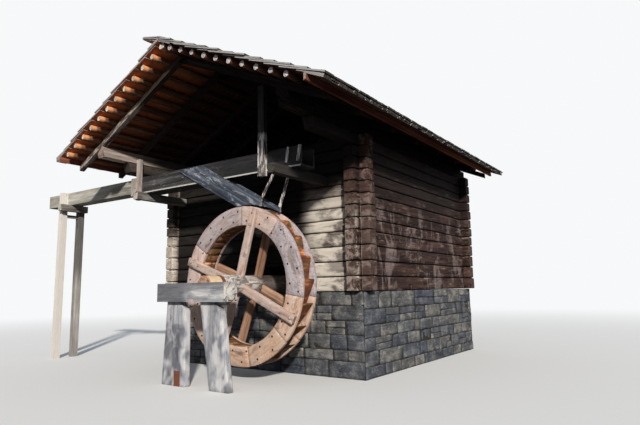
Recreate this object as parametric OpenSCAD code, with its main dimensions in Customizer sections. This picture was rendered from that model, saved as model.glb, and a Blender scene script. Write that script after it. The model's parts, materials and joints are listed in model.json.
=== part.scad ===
// Log watermill with an overshot bucket wheel, a wooden flume and an open front gable.
// X runs along the front wall, Y from the front to the back, Z up.
// The origin is on the ground under the front wall, below the ridge.

/* [House] */
// Width over the side walls
house_w = 3560; // [3200:20:4000]
// Length over the front and back walls
house_l = 3560; // [3200:20:4200]
// Thickness of the wall logs
log_t = 160; // [140:5:180]
// Height of one heavy log
heavy_log_h = 187; // [180:1:195]
// Number of heavy logs at the foot of each wall
heavy_logs = 4; // [3:1:5]
// Height of one light log
light_log_h = 151; // [145:1:156]
// Number of light logs above the heavy ones
light_logs = 8; // [7:1:8]
// Length of the log ends beyond the corners
log_end = 130; // [90:5:170]
// Depth of the groove between two logs
log_groove = 12; // [6:1:18]
// Length by which the top side log reaches out in front
corbel_reach = 960; // [860:10:1060]
// Length by which the plate reaches out in front
plate_reach = 1400; // [1380:5:1420]
// Setback of the slanted cut at the plate's and the corbel's tips
tip_cut = 60; // [0:5:90]

/* [Stone base] */
// Height of the stone base
base_h = 1030; // [980:5:1060]
// Thickness of the stone base
base_t = 400; // [340:10:460]
// Projection of the stone base beyond the logs
base_out = 20; // [10:2:40]

/* [Roof] */
// Height of the right plate at its outer face
plate_h = 148; // [138:1:158]
// Mean pitch of the two slopes in degrees
roof_pitch = 25.4; // [24.8:0.1:26]
// Lean of the old roof to the left in degrees
roof_lean = 1.1; // [0.6:0.1:1.4]
// Overhang of the left eave beyond the rafter feet, level
left_eave_out = 120; // [80:5:150]
// Overhang of the right eave beyond the rafter feet, level
right_eave_out = 220; // [180:5:250]
// Overhang of the roof in front of the front wall
verge_front = 1700; // [1640:5:1760]
// Overhang of the roof behind the back wall
verge_back = 220; // [180:5:260]
// Thickness of a shingle course at its butt
shingle_butt = 66; // [60:1:74]
// Thickness of the covering just above the next butt
shingle_head = 46; // [38:1:54]
// Number of shingle courses on a slope
shingle_courses = 12; // [10:1:14]
// Length by which the right slope passes over the ridge
ridge_lip = 375; // [360:5:385]
// Distance from the ridge at which that lip starts to droop
lip_bend = 100; // [90:5:120]
// Droop of the lip's tip below the slope
lip_droop = 23; // [10:1:30]
// Thickness of the lip's tip
lip_t = 33; // [26:1:40]
// Diameter of a round batten
batten_d = 78; // [74:1:82]
// Height of a batten between its hewn flats
batten_h = 70; // [66:1:72]
// Distance of the battens beside the ridge from it, down the slope
ridge_batten = 2; // [1:1:8]
// Number of the other battens on the left slope
left_battens_n = 11; // [9:1:12]
// Distance of the first of them from the ridge, down the slope
left_batten_first = 190; // [180:1:200]
// Distance of the last of them from the rafter feet, up the slope
left_batten_last = 152; // [146:1:176]
// Number of the other battens on the right slope
right_battens_n = 10; // [8:1:11]
// Distance of the first of them from the ridge, down the slope
right_batten_first = 155; // [145:1:165]
// Distance of the last of them from the rafter feet, up the slope
right_batten_last = 297; // [276:1:316]
// Setback of the battens' ends inside the verges
batten_in = 50; // [30:5:60]
// Depth of a rafter across the slope
rafter_d = 72; // [66:1:80]
// Width of a rafter
rafter_w = 70; // [64:2:80]
// Distance of the rafter feet from the ridge, level
rafter_foot = 2200; // [2150:5:2230]
// Distance of the first rafter pair in front of the wall, to its front face
rafter_1 = 1395; // [1390:1:1400]
// Distance between the ends of two crossing rafters at their lap
lap_gap = 0.3; // [0.1:0.1:1]
// Number of rafter pairs over the house
house_pairs = 6; // [5:1:7]
// Gap at the seats of timbers that lie on a slope
seat_gap = 0.3; // [0.1:0.1:0.6]
// Thickness of the eave board
eave_board_t = 28; // [20:1:34]
// Height of the eave board
eave_board_h = 62; // [50:1:80]

/* [Wheel] */
// Radius of the wheel
wheel_r = 960; // [920:5:980]
// Place of the wheel's axis along the wall
wheel_x = 560; // [540:5:580]
// Height of the wheel's axis over the stone base
wheel_rise = 100; // [90:1:110]
// Distance of the front shroud's outer face in front of the wall
wheel_front = 840; // [835:1:850]
// Width of the wheel over its shrouds
wheel_w = 272; // [264:1:280]
// Thickness of a shroud
shroud_t = 40; // [34:1:42]
// Radial width of a shroud
shroud_w = 235; // [220:1:250]
// Thickness of the sole
sole_t = 26; // [20:1:32]
// Number of buckets
buckets_n = 22; // [18:1:26]
// Thickness of the bucket boards
bucket_t = 22; // [16:1:26]
// Radial length of the bucket's first board
bucket_riser = 108; // [90:1:120]
// Angle by which a bucket's edge trails its root
bucket_lag = 19.5; // [16:0.5:21]
// Angle of the first bucket's root
bucket_phase = 0; // [0:0.2:16]
// Distance of the bucket's edge inside the rim
bucket_inset = 8; // [4:1:14]
// Width of an arm
arm_w = 105; // [90:1:120]
// Thickness of an arm
arm_t = 48; // [40:1:56]
// Depth of an arm's mortise in the axle
arm_mortise = 50; // [30:1:60]
// Distance of an arm's end inside the rim
arm_inset = 14; // [6:1:24]
// Angle of the upper arm
upper_arm = 74; // [71:1:77]
// Angle of the left arm
left_arm = 160; // [157:1:163]
// Angle of the lower arm
lower_arm = 250; // [247:1:253]
// Angle of the right arm
right_arm = 335; // [332:1:338]
// Radius of the log axle
axle_r = 122; // [118:1:126]
// Radius of its thinner front end
journal_r = 108; // [102:1:112]
// Length of the thinner front end
journal_l = 262; // [256:1:270]
// Length of the axle in front of the wall
axle_front = 1412; // [1404:1:1420]
// Length of the axle behind the wall's face
axle_back = 360; // [350:5:380]
// Width of the iron band on the axle
band_w = 48; // [40:1:50]
// Thickness of the iron band
band_t = 5; // [3:1:6]
// Distance of the band behind the trestle beam
band_back = 45; // [40:1:50]
// Running gap between the axle and its saddles
journal_gap = 0.3; // [0.1:0.1:0.5]
// Gap between the sole and the roots of the buckets
root_gap = 0.1; // [0.05:0.05:0.3]

/* [Axle opening] */
// Width of the opening for the axle
port_w = 730; // [680:10:760]
// Number of log courses cut by the opening
port_courses = 2; // [1:1:3]
// Depth of the notch in the stone base below the opening
port_notch = 170; // [165:5:190]
// Width of the inner bearing block
block_w = 380; // [340:10:420]
// Depth of the inner bearing block, along the axle
block_d = 290; // [240:10:300]
// Distance of the block behind the wall's face
block_y = 40; // [20:5:60]

/* [Trestle] */
// Length of the trestle beam
beam_l = 1125; // [1100:5:1150]
// Height of the trestle beam
beam_h = 212; // [206:1:220]
// Depth of the trestle beam, along the axle
beam_d = 200; // [190:5:230]
// Height of the beam's top over the axle's centre
beam_rise = 29; // [20:1:36]
// Thickness of the beam in front of the axle's end
beam_lip = 48; // [40:1:56]
// Distance of the beam's middle from the axle, to the left
beam_shift = 188; // [180:2:196]
// Width of a trestle leg at its shoulder
leg_w = 330; // [320:5:340]
// Width of the left leg's foot
left_foot_w = 410; // [390:5:430]
// Width of the right leg's foot
right_foot_w = 300; // [285:5:320]
// Thickness of a trestle leg
leg_t = 80; // [70:2:100]
// Height of the bevelled shoulder of a leg
shoulder_h = 100; // [90:5:110]
// Width that the shoulder takes off a leg's top
shoulder_w = 104; // [94:2:114]
// Distance of the left leg's top from the beam's left end
left_leg_in = 120; // [110:5:130]
// Distance of the right leg's top from the left leg's
leg_gap = 562; // [552:2:574]
// Sideways lean of the left leg, to the left
left_lean = 78; // [68:2:88]
// Sideways lean of the right leg, to the right
right_lean = 164; // [150:2:176]
// Distance of the iron strap from the left edge of the left leg's foot
strap_in = 226; // [210:2:240]
// Width of the strap
strap_w = 100; // [90:5:110]
// Height of the strap
strap_h = 170; // [140:5:200]
// Thickness of the strap
strap_t = 5; // [3:1:7]

/* [Flume] */
// Drop from the top of the walls to the main trough's underside at its upper end
flume_drop = 456; // [446:1:470]
// Fall of the flume for each metre
flume_fall = 12; // [6:1:16]
// Distance of the main trough's near face in front of the wall
flume_front = 758; // [756:1:760]
// Width over the main trough
trough_w = 270; // [262:1:276]
// Height of the main trough
trough_h = 245; // [235:1:255]
// Thickness of the flume boards
board_t = 26; // [22:1:30]
// Distance of the main trough's left end from the ridge
trough_left = 1780; // [1760:5:1800]
// Distance of the main trough's right end from the ridge
trough_right = 1450; // [1420:5:1480]
// Distance of the upper trough's left end from the ridge
upper_left = 4330; // [4200:10:4400]
// Distance of the upper trough's lower end from the ridge
upper_right = 1600; // [1570:5:1620]
// Gap between the upper trough and the sides that it lies in
nest_gap = 4; // [2:1:8]
// Height of the upper trough
upper_h = 212; // [200:1:220]
// Pitch of the chute in degrees
chute_pitch = 28.7; // [26:0.1:31]
// Height of the chute's sides across its slope
chute_h = 237; // [225:1:250]
// Thickness of the chute's boards
chute_t = 22; // [18:1:24]
// Clear width inside the chute
chute_in = 108; // [96:1:112]
// Place where the chute's underside passes the trough's underside
chute_x = -300; // [-320:5:-280]
// Distance of the chute's near end from the ridge
chute_near = 850; // [820:5:880]
// Distance of the chute's far end from the ridge
chute_far = 1040; // [1000:5:1060]
// Gap between the chute and the turning wheel
chute_gap = 25; // [15:1:40]
// Width of the chute's hanger sticks
stick_w = 32; // [24:1:40]
// Thickness of the hanger sticks
stick_t = 20; // [14:1:24]
// Length by which a stick laps the chute's side
stick_lap = 55; // [40:5:70]
// Distance of the sticks' lower ends from the ends of the chute's sides
stick_in = 60; // [50:5:80]
// Sideways lean of the near stick
near_stick_lean = 245; // [200:5:260]
// Sideways lean of the far stick
far_stick_lean = 180; // [150:5:185]

/* [Flume supports] */
// Width of a hanger post
post_w = 100; // [80:2:110]
// Thickness of a hanger post
post_t = 60; // [50:2:70]
// Place of the right hanger post's left side
right_post_x = 830; // [820:2:850]
// Length of the right hanger post below the trough's underside
post_drop = 62; // [50:2:80]
// Width of the left hanger
left_hanger_w = 62; // [50:2:70]
// Length of the left hanger above the plate's underside
left_hanger_up = 54; // [40:2:60]
// Width of the board over the joint
joint_board_w = 175; // [150:5:190]
// Thickness of the board over the joint
joint_board_t = 25; // [18:1:30]
// Width of a bearer
bearer_w = 105; // [90:2:120]
// Height of a bearer
bearer_h = 110; // [90:2:120]
// Reach of the joint bearer in front of the wall
joint_bearer_l = 905; // [880:5:940]
// Reach of the end bearer in front of the wall
end_bearer_l = 1060; // [1020:5:1100]
// Place of the end bearer's left side
end_bearer_x = 1205; // [1190:5:1220]
// Width of the posts of the upper bent
bent_w = 100; // [90:2:110]
// Distance of the bent's left side from the ridge
bent_x = 3800; // [3760:10:3840]
// Reach of the bent's bearer in front of its front post
bent_reach = 70; // [50:5:100]
// Height of the tie between the bent's posts
tie_h = 52; // [40:2:60]
// Distance of the tie below the bent's bearer
tie_drop = 105; // [90:5:130]
// Thickness of the tie
tie_t = 40; // [30:2:50]
// Width of a cleat on the trough's side
cleat_w = 34; // [26:1:40]
// Thickness of a cleat
cleat_t = 16; // [12:1:20]
// Distance of the first cleat from the end bearer's left side
cleat_first = 15; // [5:5:30]
// Distance of the second cleat from the trough's right end
cleat_last = 55; // [45:5:90]

/* [Hidden] */

$fn = 96;
// Overlap of cutters beyond what they cut
eps = 1;

courses = heavy_logs + light_logs;
// Height over the ground of the joint below log i
function joint_z(i) =
    base_h + min(i, heavy_logs) * heavy_log_h + max(i - heavy_logs, 0) * light_log_h;
function log_h(i) = joint_z(i + 1) - joint_z(i);
wall_top = joint_z(courses);
half_w = house_w / 2;

// Depths below the covering's top line
rafter_top_d = shingle_butt + batten_h;
rafter_bottom_d = rafter_top_d + rafter_d;

cos_p = cos(roof_pitch);
sin_p = sin(roof_pitch);
tan_p = sin_p / cos_p;
left_eave = rafter_foot + left_eave_out;
right_eave = rafter_foot + right_eave_out;
// Pitch of the slope over place x, once the roof leans
function pitch_at(x) = roof_pitch - sign(x) * roof_lean;
// Height of the covering's top line at the ridge
ridge_h = wall_top + plate_h + half_w * tan(pitch_at(half_w)) + rafter_bottom_d / cos(pitch_at(half_w));
// Height over the ground of a plane d below the covering's top line, before the roof leans
function roof_z(x, d) = ridge_h - abs(x) * tan_p - d / cos_p;
// The same once it leans
function lean_z(x, d) = ridge_h - abs(x) * tan(pitch_at(x)) - d / cos(pitch_at(x));

wheel_z = base_h + wheel_rise;
wheel_back = wheel_front - wheel_w;
inner_r = wheel_r - shroud_w;
sole_r = inner_r + sole_t;
beam_top = wheel_z + beam_rise;
beam_bottom = beam_top - beam_h;
beam_front = axle_front + beam_lip;
beam_x = wheel_x - beam_shift - beam_l / 2;

flume_z = wall_top - flume_drop;
// Underside of the main trough at place x along the wall
function flume_under(x) = flume_z - (x + trough_left) * flume_fall / 1000;
// Underside of the upper trough, which lies on the main trough's floor
function upper_under(x) = flume_under(x) + board_t;
flume_back = flume_front - trough_w;
upper_front = flume_front - board_t - nest_gap;
upper_back = flume_back + board_t + nest_gap;
chute_front = flume_front + chute_t;
chute_back = flume_front - chute_in - chute_t;
tan_c = tan(chute_pitch);
cos_c = cos(chute_pitch);
// Height of the chute's underside at place x
function chute_under(x) = flume_under(chute_x) - (x - chute_x) * tan_c;
chute_rise = chute_h / cos_c;

log_color = [0.40, 0.33, 0.28];
stone_color = [0.52, 0.50, 0.46];
pole_color = [0.62, 0.42, 0.28];
shingle_color = [0.50, 0.47, 0.44];
rafter_color = [0.36, 0.29, 0.24];
wheel_color = [0.66, 0.57, 0.50];
bucket_color = [0.62, 0.45, 0.34];
iron_color = [0.48, 0.30, 0.22];
grey_wood = [0.54, 0.52, 0.50];
dark_wood = [0.30, 0.26, 0.24];

// Draws a profile of the XZ plane and extends it from y0 to y1
module along_y(y0, y1) {
    translate([0, y1, 0]) rotate([90, 0, 0]) linear_extrude(y1 - y0) children();
}

// Draws a profile of the YZ plane and extends it from x0 to x1
module along_x(x0, x1) {
    translate([x0, 0, 0]) rotate([90, 0, 90]) linear_extrude(x1 - x0) children();
}

module block(x, y, z) {
    translate([x[0], y[0], z[0]]) cube([x[1] - x[0], y[1] - y[0], z[1] - z[0]]);
}

// Outline of a stack of hewn logs from log a to log b, with a groove at each joint
module log_stack(a, b) {
    lips = [for (i = [a : b]) each [[0, joint_z(i) + log_groove], [0, joint_z(i + 1) - log_groove],
                                    [log_groove, joint_z(i + 1)]]];
    back = [for (i = [b : -1 : a]) each [[log_t, joint_z(i + 1) - log_groove],
                                         [log_t, joint_z(i) + log_groove], [log_t - log_groove, joint_z(i)]]];
    polygon(concat([[log_groove, joint_z(a)]], lips, [[log_t - log_groove, joint_z(b + 1)]], back));
}

// Halves of the crossing logs: part 0 is the lower half of each course, part 1 the upper half
module corner_halves(x, y, part) {
    for (i = [0 : courses - 1])
        block(x, y, [joint_z(i) + (part == 0 ? -eps / 100 : log_h(i) / 2),
                     joint_z(i) + (part == 0 ? log_h(i) / 2 : log_h(i) + eps / 100)]);
}

module cross_wall(y) {
    difference() {
        translate([0, y, 0]) along_x(-half_w - log_end, half_w + log_end) log_stack(0, courses - 1);
        for (s = [-1, 1]) {
            corner_halves([min(s * half_w, s * (half_w - log_t)), max(s * half_w, s * (half_w - log_t))],
                          [y - eps, y + log_t + eps], 1);
            // Log ends hewn off below the rafters
            along_y(y - eps, y + log_t + eps)
                polygon([[s * half_w, ridge_h], [s * half_w, lean_z(s * half_w, rafter_bottom_d) - seat_gap],
                         [s * house_w, lean_z(s * house_w, rafter_bottom_d) - seat_gap], [s * house_w, ridge_h]]);
        }
    }
}

module side_wall(s) {
    x = s > 0 ? half_w - log_t : -half_w;
    color(log_color)
    difference() {
        union() {
            translate([x, 0, 0]) along_y(-log_end, house_l + log_end) log_stack(0, courses - 2);
            difference() {
                translate([x, 0, 0]) along_y(-corbel_reach, house_l + log_end) log_stack(courses - 1, courses - 1);
                translate([x, -corbel_reach, joint_z(courses - 1)]) tip_cutter(log_h(courses - 1));
            }
        }
        for (y = [0, house_l - log_t])
            corner_halves([x - eps, x + log_t + eps], [y, y + log_t], 0);
    }
}

// Takes the slanted cut off the lower front of a log's tip
module tip_cutter(h) {
    along_x(-eps, log_t + eps)
        polygon([[-eps, -eps], [tip_cut, -eps], [tip_cut, 0], [0, h], [0, h + eps], [-eps, h + eps]]);
}

port_x = [wheel_x - port_w / 2, wheel_x + port_w / 2];
port_top = joint_z(port_courses);
port_floor = base_h - port_notch;

module front_wall() {
    color(log_color)
    difference() {
        cross_wall(0);
        block(port_x, [-eps, log_t + eps], [base_h - eps, port_top]);
    }
}

module back_wall() {
    color(log_color) cross_wall(house_l - log_t);
}

module left_wall() {
    side_wall(-1);
}

module right_wall() {
    side_wall(1);
}

module front_base() {
    color(stone_color)
    difference() {
        block([-half_w - base_out, half_w + base_out], [-base_out, base_t - base_out], [0, base_h]);
        block(port_x, [-base_out - eps, base_t], [port_floor, base_h + eps]);
    }
}

module back_base() {
    color(stone_color)
    block([-half_w - base_out, half_w + base_out],
          [house_l + base_out - base_t, house_l + base_out], [0, base_h]);
}

module side_base(s) {
    x0 = s > 0 ? half_w + base_out - base_t : -half_w - base_out;
    color(stone_color)
    block([x0, x0 + base_t], [base_t - base_out, house_l + base_out - base_t], [0, base_h]);
}

module left_base() {
    side_base(-1);
}

module right_base() {
    side_base(1);
}

// Plate on a side wall, its top hewn to the slope that the rafters lie on
module plate(s) {
    outer = half_w;
    inner = half_w - log_t;
    color(dark_wood)
    difference() {
        along_y(-plate_reach, house_l + log_end)
            polygon([[s * inner, wall_top], [s * outer, wall_top],
                     [s * outer, lean_z(s * outer, rafter_bottom_d) - seat_gap],
                     [s * inner, lean_z(s * inner, rafter_bottom_d) - seat_gap]]);
        translate([s > 0 ? inner : -outer, -plate_reach, wall_top]) tip_cutter(light_log_h);
    }
}

module left_plate() {
    plate(-1);
}

module right_plate() {
    plate(1);
}

// Turns the roof about its ridge, as the old one leans
module leaning() {
    translate([0, 0, ridge_h]) rotate([0, -roof_lean, 0]) translate([0, 0, -ridge_h]) children();
}

// Front faces of the rafter pairs
rafter_2 = flume_front;
pair_step = (house_l - log_t) / (house_pairs - 1);
pair_y = concat([-rafter_1, -rafter_2],
                [for (i = [0 : house_pairs - 1]) (log_t - rafter_w) / 2 + i * pair_step]);

// A rafter of the slope on side s, halved at the ridge, where part 0 keeps the front half
module rafter(s, part) {
    lap_x = rafter_d / sin_p / 2;
    difference() {
        along_y(0, rafter_w)
            polygon([[-s * lap_x, ridge_h + lap_x * tan_p - rafter_top_d / cos_p],
                     [s * rafter_foot, roof_z(rafter_foot, rafter_top_d)],
                     [s * rafter_foot, roof_z(rafter_foot, rafter_bottom_d)],
                     [-s * lap_x, ridge_h + lap_x * tan_p - rafter_bottom_d / cos_p]]);
        // Half of the width where the pair crosses
        along_y(part == 0 ? (rafter_w - lap_gap) / 2 : -eps, part == 0 ? rafter_w + eps : (rafter_w + lap_gap) / 2)
            polygon([[0, roof_z(0, rafter_top_d)], [-2 * lap_x, roof_z(0, rafter_top_d) + 2 * lap_x * tan_p],
                     [-2 * lap_x, roof_z(0, rafter_bottom_d) - 2 * lap_x * tan_p],
                     [0, roof_z(0, rafter_bottom_d)],
                     [2 * lap_x, roof_z(0, rafter_bottom_d) - 2 * lap_x * tan_p],
                     [2 * lap_x, roof_z(0, rafter_top_d) + 2 * lap_x * tan_p]]);
        // Top of the lap, level with the other slope's upper face
        along_y(-eps, rafter_w + eps)
            polygon([[0, roof_z(0, rafter_top_d)], [-s * 2 * lap_x, roof_z(2 * lap_x, rafter_top_d)],
                     [-s * 2 * lap_x, ridge_h + 2 * lap_x]]);
    }
}

module left_rafters() {
    color(rafter_color) leaning() for (y = pair_y) translate([0, y, 0]) rafter(-1, 0);
}

module right_rafters() {
    color(rafter_color) leaning() for (y = pair_y) translate([0, y, 0]) rafter(1, 1);
}

// Places a profile on a slope: its x runs down the slope from the ridge, its y up from d below the top.
// It ends inset inside the verges
module on_slope(s, d, inset = 0) {
    leaning()
    mirror([s > 0 ? 0 : 1, 0, 0])
    translate([0, 0, ridge_h - d / cos_p]) rotate([0, roof_pitch, 0])
    along_y(-verge_front + inset, house_l + verge_back - inset) children();
}

// The batten beside the ridge and count others, from place first to the one last short of the rafter feet
module slope_battens(s, first, last, count) {
    step = (rafter_foot / cos_p - last - first) / (count - 1);
    places = concat([ridge_batten], [for (i = [0 : count - 1]) first + i * step]);
    color(pole_color)
    on_slope(s, rafter_top_d, batten_in)
        for (place = places)
            translate([place + batten_h * tan_p, batten_h / 2])
                intersection() {
                    circle(d = batten_d);
                    square([batten_d, batten_h - 2 * seat_gap], center = true);
                }
}

module left_battens() {
    slope_battens(-1, left_batten_first, left_batten_last, left_battens_n);
}

module right_battens() {
    slope_battens(1, right_batten_first, right_batten_last, right_battens_n);
}

// Sawtooth outline of the courses, from the eave at level distance out up to the ridge
function shingle_outline(out) = let (slope_l = out / cos_p, course_l = slope_l / shingle_courses) concat(
    [[0, 0], [slope_l, 0]],
    [for (i = [0 : shingle_courses - 1]) each [
        [slope_l - i * course_l, shingle_butt],
        [max(slope_l - (i + 1) * course_l, 0), shingle_head]]]);

module right_shingles() {
    last_l = right_eave / cos_p / shingle_courses;
    color(shingle_color)
    union() {
        on_slope(1, shingle_butt) polygon(shingle_outline(right_eave));
        // The last course, which passes over the ridge and droops
        on_slope(1, shingle_butt) polygon([[-ridge_lip, -lip_droop], [-lip_bend, 0], [last_l, 0],
                                           [last_l / 2, shingle_butt], [0, shingle_butt],
                                           [-ridge_lip, lip_t - lip_droop]]);
    }
}

module left_shingles() {
    color(shingle_color)
    difference() {
        on_slope(-1, shingle_butt) polygon(shingle_outline(left_eave));
        // Room for the right slope's last course
        leaning() along_y(-verge_front - eps, house_l + verge_back + eps)
            polygon([[left_eave, roof_z(left_eave, shingle_butt)], [0, roof_z(0, shingle_butt)],
                     [-left_eave, ridge_h + left_eave * tan_p - shingle_butt / cos_p],
                     [left_eave, ridge_h + left_eave * tan_p]]);
    }
}

module eave_boards() {
    top = roof_z(rafter_foot + eave_board_t, shingle_butt) - seat_gap;
    color(pole_color)
    leaning() for (s = [-1, 1])
        along_y(-verge_front, house_l + verge_back)
            polygon([[s * rafter_foot, roof_z(rafter_foot, shingle_butt) - seat_gap],
                     [s * (rafter_foot + eave_board_t), top],
                     [s * (rafter_foot + eave_board_t), top - eave_board_h],
                     [s * rafter_foot, top - eave_board_h]]);
}

// Places a shape of the wheel's plane, with its z at distance y in front of the wall
module on_wheel(y) {
    translate([wheel_x, -y, wheel_z]) rotate([-90, 0, 0]) mirror([0, 1, 0]) children();
}

module axle_rod(r, y0, y1) {
    on_wheel(y0) cylinder(r = r, h = y0 - y1);
}

// Arms in the plane whose outer face lies y in front of the wall
module arm_set(y, from_r) {
    for (angle = [upper_arm, left_arm, lower_arm, right_arm])
        on_wheel(y) rotate([0, 0, angle])
            translate([from_r, -arm_w / 2, 0]) cube([wheel_r - arm_inset - from_r, arm_w, arm_t]);
}

arm_root = axle_r - arm_mortise;

module axle() {
    color(wheel_color)
    difference() {
        union() {
            axle_rod(journal_r, axle_front, axle_front - journal_l - eps);
            axle_rod(axle_r, axle_front - journal_l, -axle_back);
        }
        arm_set(wheel_front + arm_t, arm_root);
        arm_set(wheel_back, arm_root);
    }
}

module axle_band() {
    y = beam_front - beam_d - band_back;
    color(iron_color)
    difference() {
        axle_rod(journal_r + band_t, y, y - band_w);
        axle_rod(journal_r, y + eps, y - band_w - eps);
    }
}

module shroud(y) {
    color(wheel_color)
    difference() {
        on_wheel(y) cylinder(r = wheel_r, h = shroud_t);
        on_wheel(y + eps) cylinder(r = inner_r, h = shroud_t + 2 * eps);
    }
}

module front_shroud() {
    shroud(wheel_front);
}

module back_shroud() {
    shroud(wheel_back + shroud_t);
}

drum_w = wheel_w - 2 * shroud_t;
drum_front = wheel_front - shroud_t;

module sole() {
    color(bucket_color)
    on_wheel(drum_front) difference() {
        cylinder(r = sole_r, h = drum_w);
        translate([0, 0, -eps]) cylinder(r = inner_r, h = drum_w + 2 * eps);
    }
}

function on_circle(r, a) = [r * cos(a), r * sin(a)];

// Outline of one bucket: a short radial board and a slanted one
module bucket_outline() {
    root = sole_r + root_gap;
    edge = wheel_r - bucket_inset;
    elbow = sole_r + bucket_riser;
    half = bucket_t / 2;
    polygon([[root, -half], [elbow, -half], on_circle(edge, bucket_lag - asin(bucket_t / edge)),
             on_circle(edge, bucket_lag), [elbow - bucket_t / 2, half], [root, half]]);
}

module buckets() {
    color(bucket_color)
    for (i = [0 : buckets_n - 1])
        on_wheel(drum_front) rotate([0, 0, bucket_phase + i * 360 / buckets_n])
            linear_extrude(drum_w) bucket_outline();
}

module front_arms() {
    color(wheel_color) arm_set(wheel_front + arm_t, arm_root);
}

module back_arms() {
    color(wheel_color) arm_set(wheel_back, arm_root);
}

module trestle_beam() {
    saddle_r = journal_r + journal_gap;
    color(grey_wood)
    difference() {
        block([beam_x, beam_x + beam_l], [-beam_front, -beam_front + beam_d], [beam_bottom, beam_top]);
        axle_rod(saddle_r, axle_front + journal_gap, axle_front - beam_d);
        block([wheel_x - saddle_r, wheel_x + saddle_r], [-axle_front - journal_gap, -axle_front + beam_d],
              [wheel_z, beam_top + eps]);
    }
}

leg_y = [-beam_front + (beam_d - leg_t) / 2, -beam_front + (beam_d + leg_t) / 2];

// A leg whose top left corner is at x, and whose foot is foot_w wide and moved sideways by lean
module leg(x, lean, foot_w) {
    color(grey_wood)
    along_y(leg_y[0], leg_y[1])
        polygon([[x + lean, 0], [x + lean + foot_w, 0],
                 [x + leg_w + lean * shoulder_h / beam_bottom, beam_bottom - shoulder_h],
                 [x + leg_w - shoulder_w, beam_bottom], [x, beam_bottom]]);
}

left_leg_x = beam_x + left_leg_in;

module left_leg() {
    leg(left_leg_x, -left_lean, left_foot_w);
}

module right_leg() {
    leg(left_leg_x + leg_gap, right_lean, right_foot_w);
}

module leg_strap() {
    x = left_leg_x - left_lean + strap_in;
    color(iron_color) block([x, x + strap_w], [leg_y[0] - strap_t, leg_y[0]], [0, strap_h]);
}

module inner_bearing() {
    color(dark_wood)
    difference() {
        block([wheel_x - block_w / 2, wheel_x + block_w / 2], [block_y, block_y + block_d], [port_floor, wheel_z]);
        axle_rod(axle_r + journal_gap, 0, -axle_back);
    }
}

// A board of the flume between places x0 and x1, from height z0 to z1 over the trough's underside
module flume_board(x0, x1, z0, z1, lift) {
    polygon([[x0, flume_under(x0) + lift + z0], [x1, flume_under(x1) + lift + z0],
             [x1, flume_under(x1) + lift + z1], [x0, flume_under(x0) + lift + z1]]);
}

// A trough of three boards
module trough(x0, x1, front, back, h, lift) {
    along_y(-front, -front + board_t) flume_board(x0, x1, 0, h, lift);
    along_y(-back - board_t, -back) flume_board(x0, x1, 0, h, lift);
    along_y(-front, -back) flume_board(x0, x1, 0, board_t, lift);
}

module upper_trough() {
    color(grey_wood) trough(-upper_left, -upper_right, upper_front, upper_back, upper_h, board_t);
}

// Length of the chute's mouth along the trough
mouth_l = chute_rise / tan_c;

module main_trough() {
    color(grey_wood)
    difference() {
        trough(-trough_left, trough_right, flume_front, flume_back, trough_h, 0);
        block([chute_x, chute_x + mouth_l], [-flume_front + board_t, -flume_front + chute_in],
              [flume_z - trough_h, flume_z + trough_h / 2]);
    }
}

// Strip of the chute's side between depths d0 and d1 over its underside, as far as x1
module chute_strip(d0, d1, x0, x1) {
    polygon([[x0, chute_under(x0) + d0], [x1, chute_under(x1) + d0],
             [x1, chute_under(x1) + d1], [x0, chute_under(x0) + d1]]);
}

module chute() {
    top_x = chute_x - trough_h / tan_c;
    color(grey_wood)
    difference() {
        union() {
            // Near side, nailed to the trough's face
            along_y(-chute_front, -flume_front) difference() {
                chute_strip(0, chute_rise, top_x, chute_near);
                translate([-2 * trough_left, flume_under(-trough_left) + trough_h - 3 * flume_fall])
                    square(4 * trough_left);
            }
            // Far side and floor, below the trough
            along_y(-chute_back - chute_t, -chute_back) difference() {
                chute_strip(0, chute_rise, top_x, chute_far);
                flume_above();
            }
            along_y(-flume_front - eps, -chute_back - eps) difference() {
                chute_strip(0, chute_t / cos_c, top_x, chute_near);
                flume_above();
            }
        }
        axle_rod(wheel_r + chute_gap, wheel_front, wheel_back);
    }
}

// Everything above the trough's underside
module flume_above() {
    flume_board(-trough_left, trough_right, 0, 3 * trough_h, 0);
}

// A slanted stick from the trough's underside to the chute's side, whose lower end is at x
module stick(y, x, lean) {
    low = chute_under(x) + chute_rise - stick_lap;
    along_y(y, y + stick_t)
        polygon([[x, low], [x + stick_w, low],
                 [x + lean + stick_w, flume_under(x + lean + stick_w) - seat_gap],
                 [x + lean, flume_under(x + lean) - seat_gap]]);
}

module chute_hangers() {
    color(dark_wood) {
        stick(-flume_front, chute_near - stick_in, near_stick_lean);
        stick(-chute_back, chute_far - stick_in, far_stick_lean);
    }
}

cleat_x = [end_bearer_x + cleat_first, trough_right - cleat_last];

module trough_cleats() {
    color(grey_wood)
    for (x = cleat_x)
        along_y(-flume_front - cleat_t, -flume_front)
            polygon([[x, flume_under(x) + trough_h / 4], [x + cleat_w, flume_under(x + cleat_w) + trough_h / 4],
                     [x + 2 * cleat_w, flume_under(x) + trough_h], [x + cleat_w, flume_under(x) + trough_h]]);
}

hanger_x = -half_w + log_t;

module left_hanger() {
    color(grey_wood)
    block([hanger_x, hanger_x + left_hanger_w], [-flume_front - post_t, -flume_front],
          [flume_z - bearer_h, wall_top + left_hanger_up]);
}

module joint_board() {
    color(grey_wood)
    along_y(-flume_front - joint_board_t, -flume_front)
        flume_board(hanger_x - joint_board_w, hanger_x, -board_t, trough_h, 0);
}

// A bearer from the wall out to y in front of it, under a trough
module bearer(x, y, lift) {
    along_y(-y, 0) flume_board(x, x + bearer_w, -bearer_h, -seat_gap, lift);
}

module joint_bearer() {
    color(grey_wood) bearer(hanger_x + left_hanger_w, joint_bearer_l, 0);
}

module end_bearer() {
    color(grey_wood) bearer(end_bearer_x, end_bearer_l, 0);
}

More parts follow.
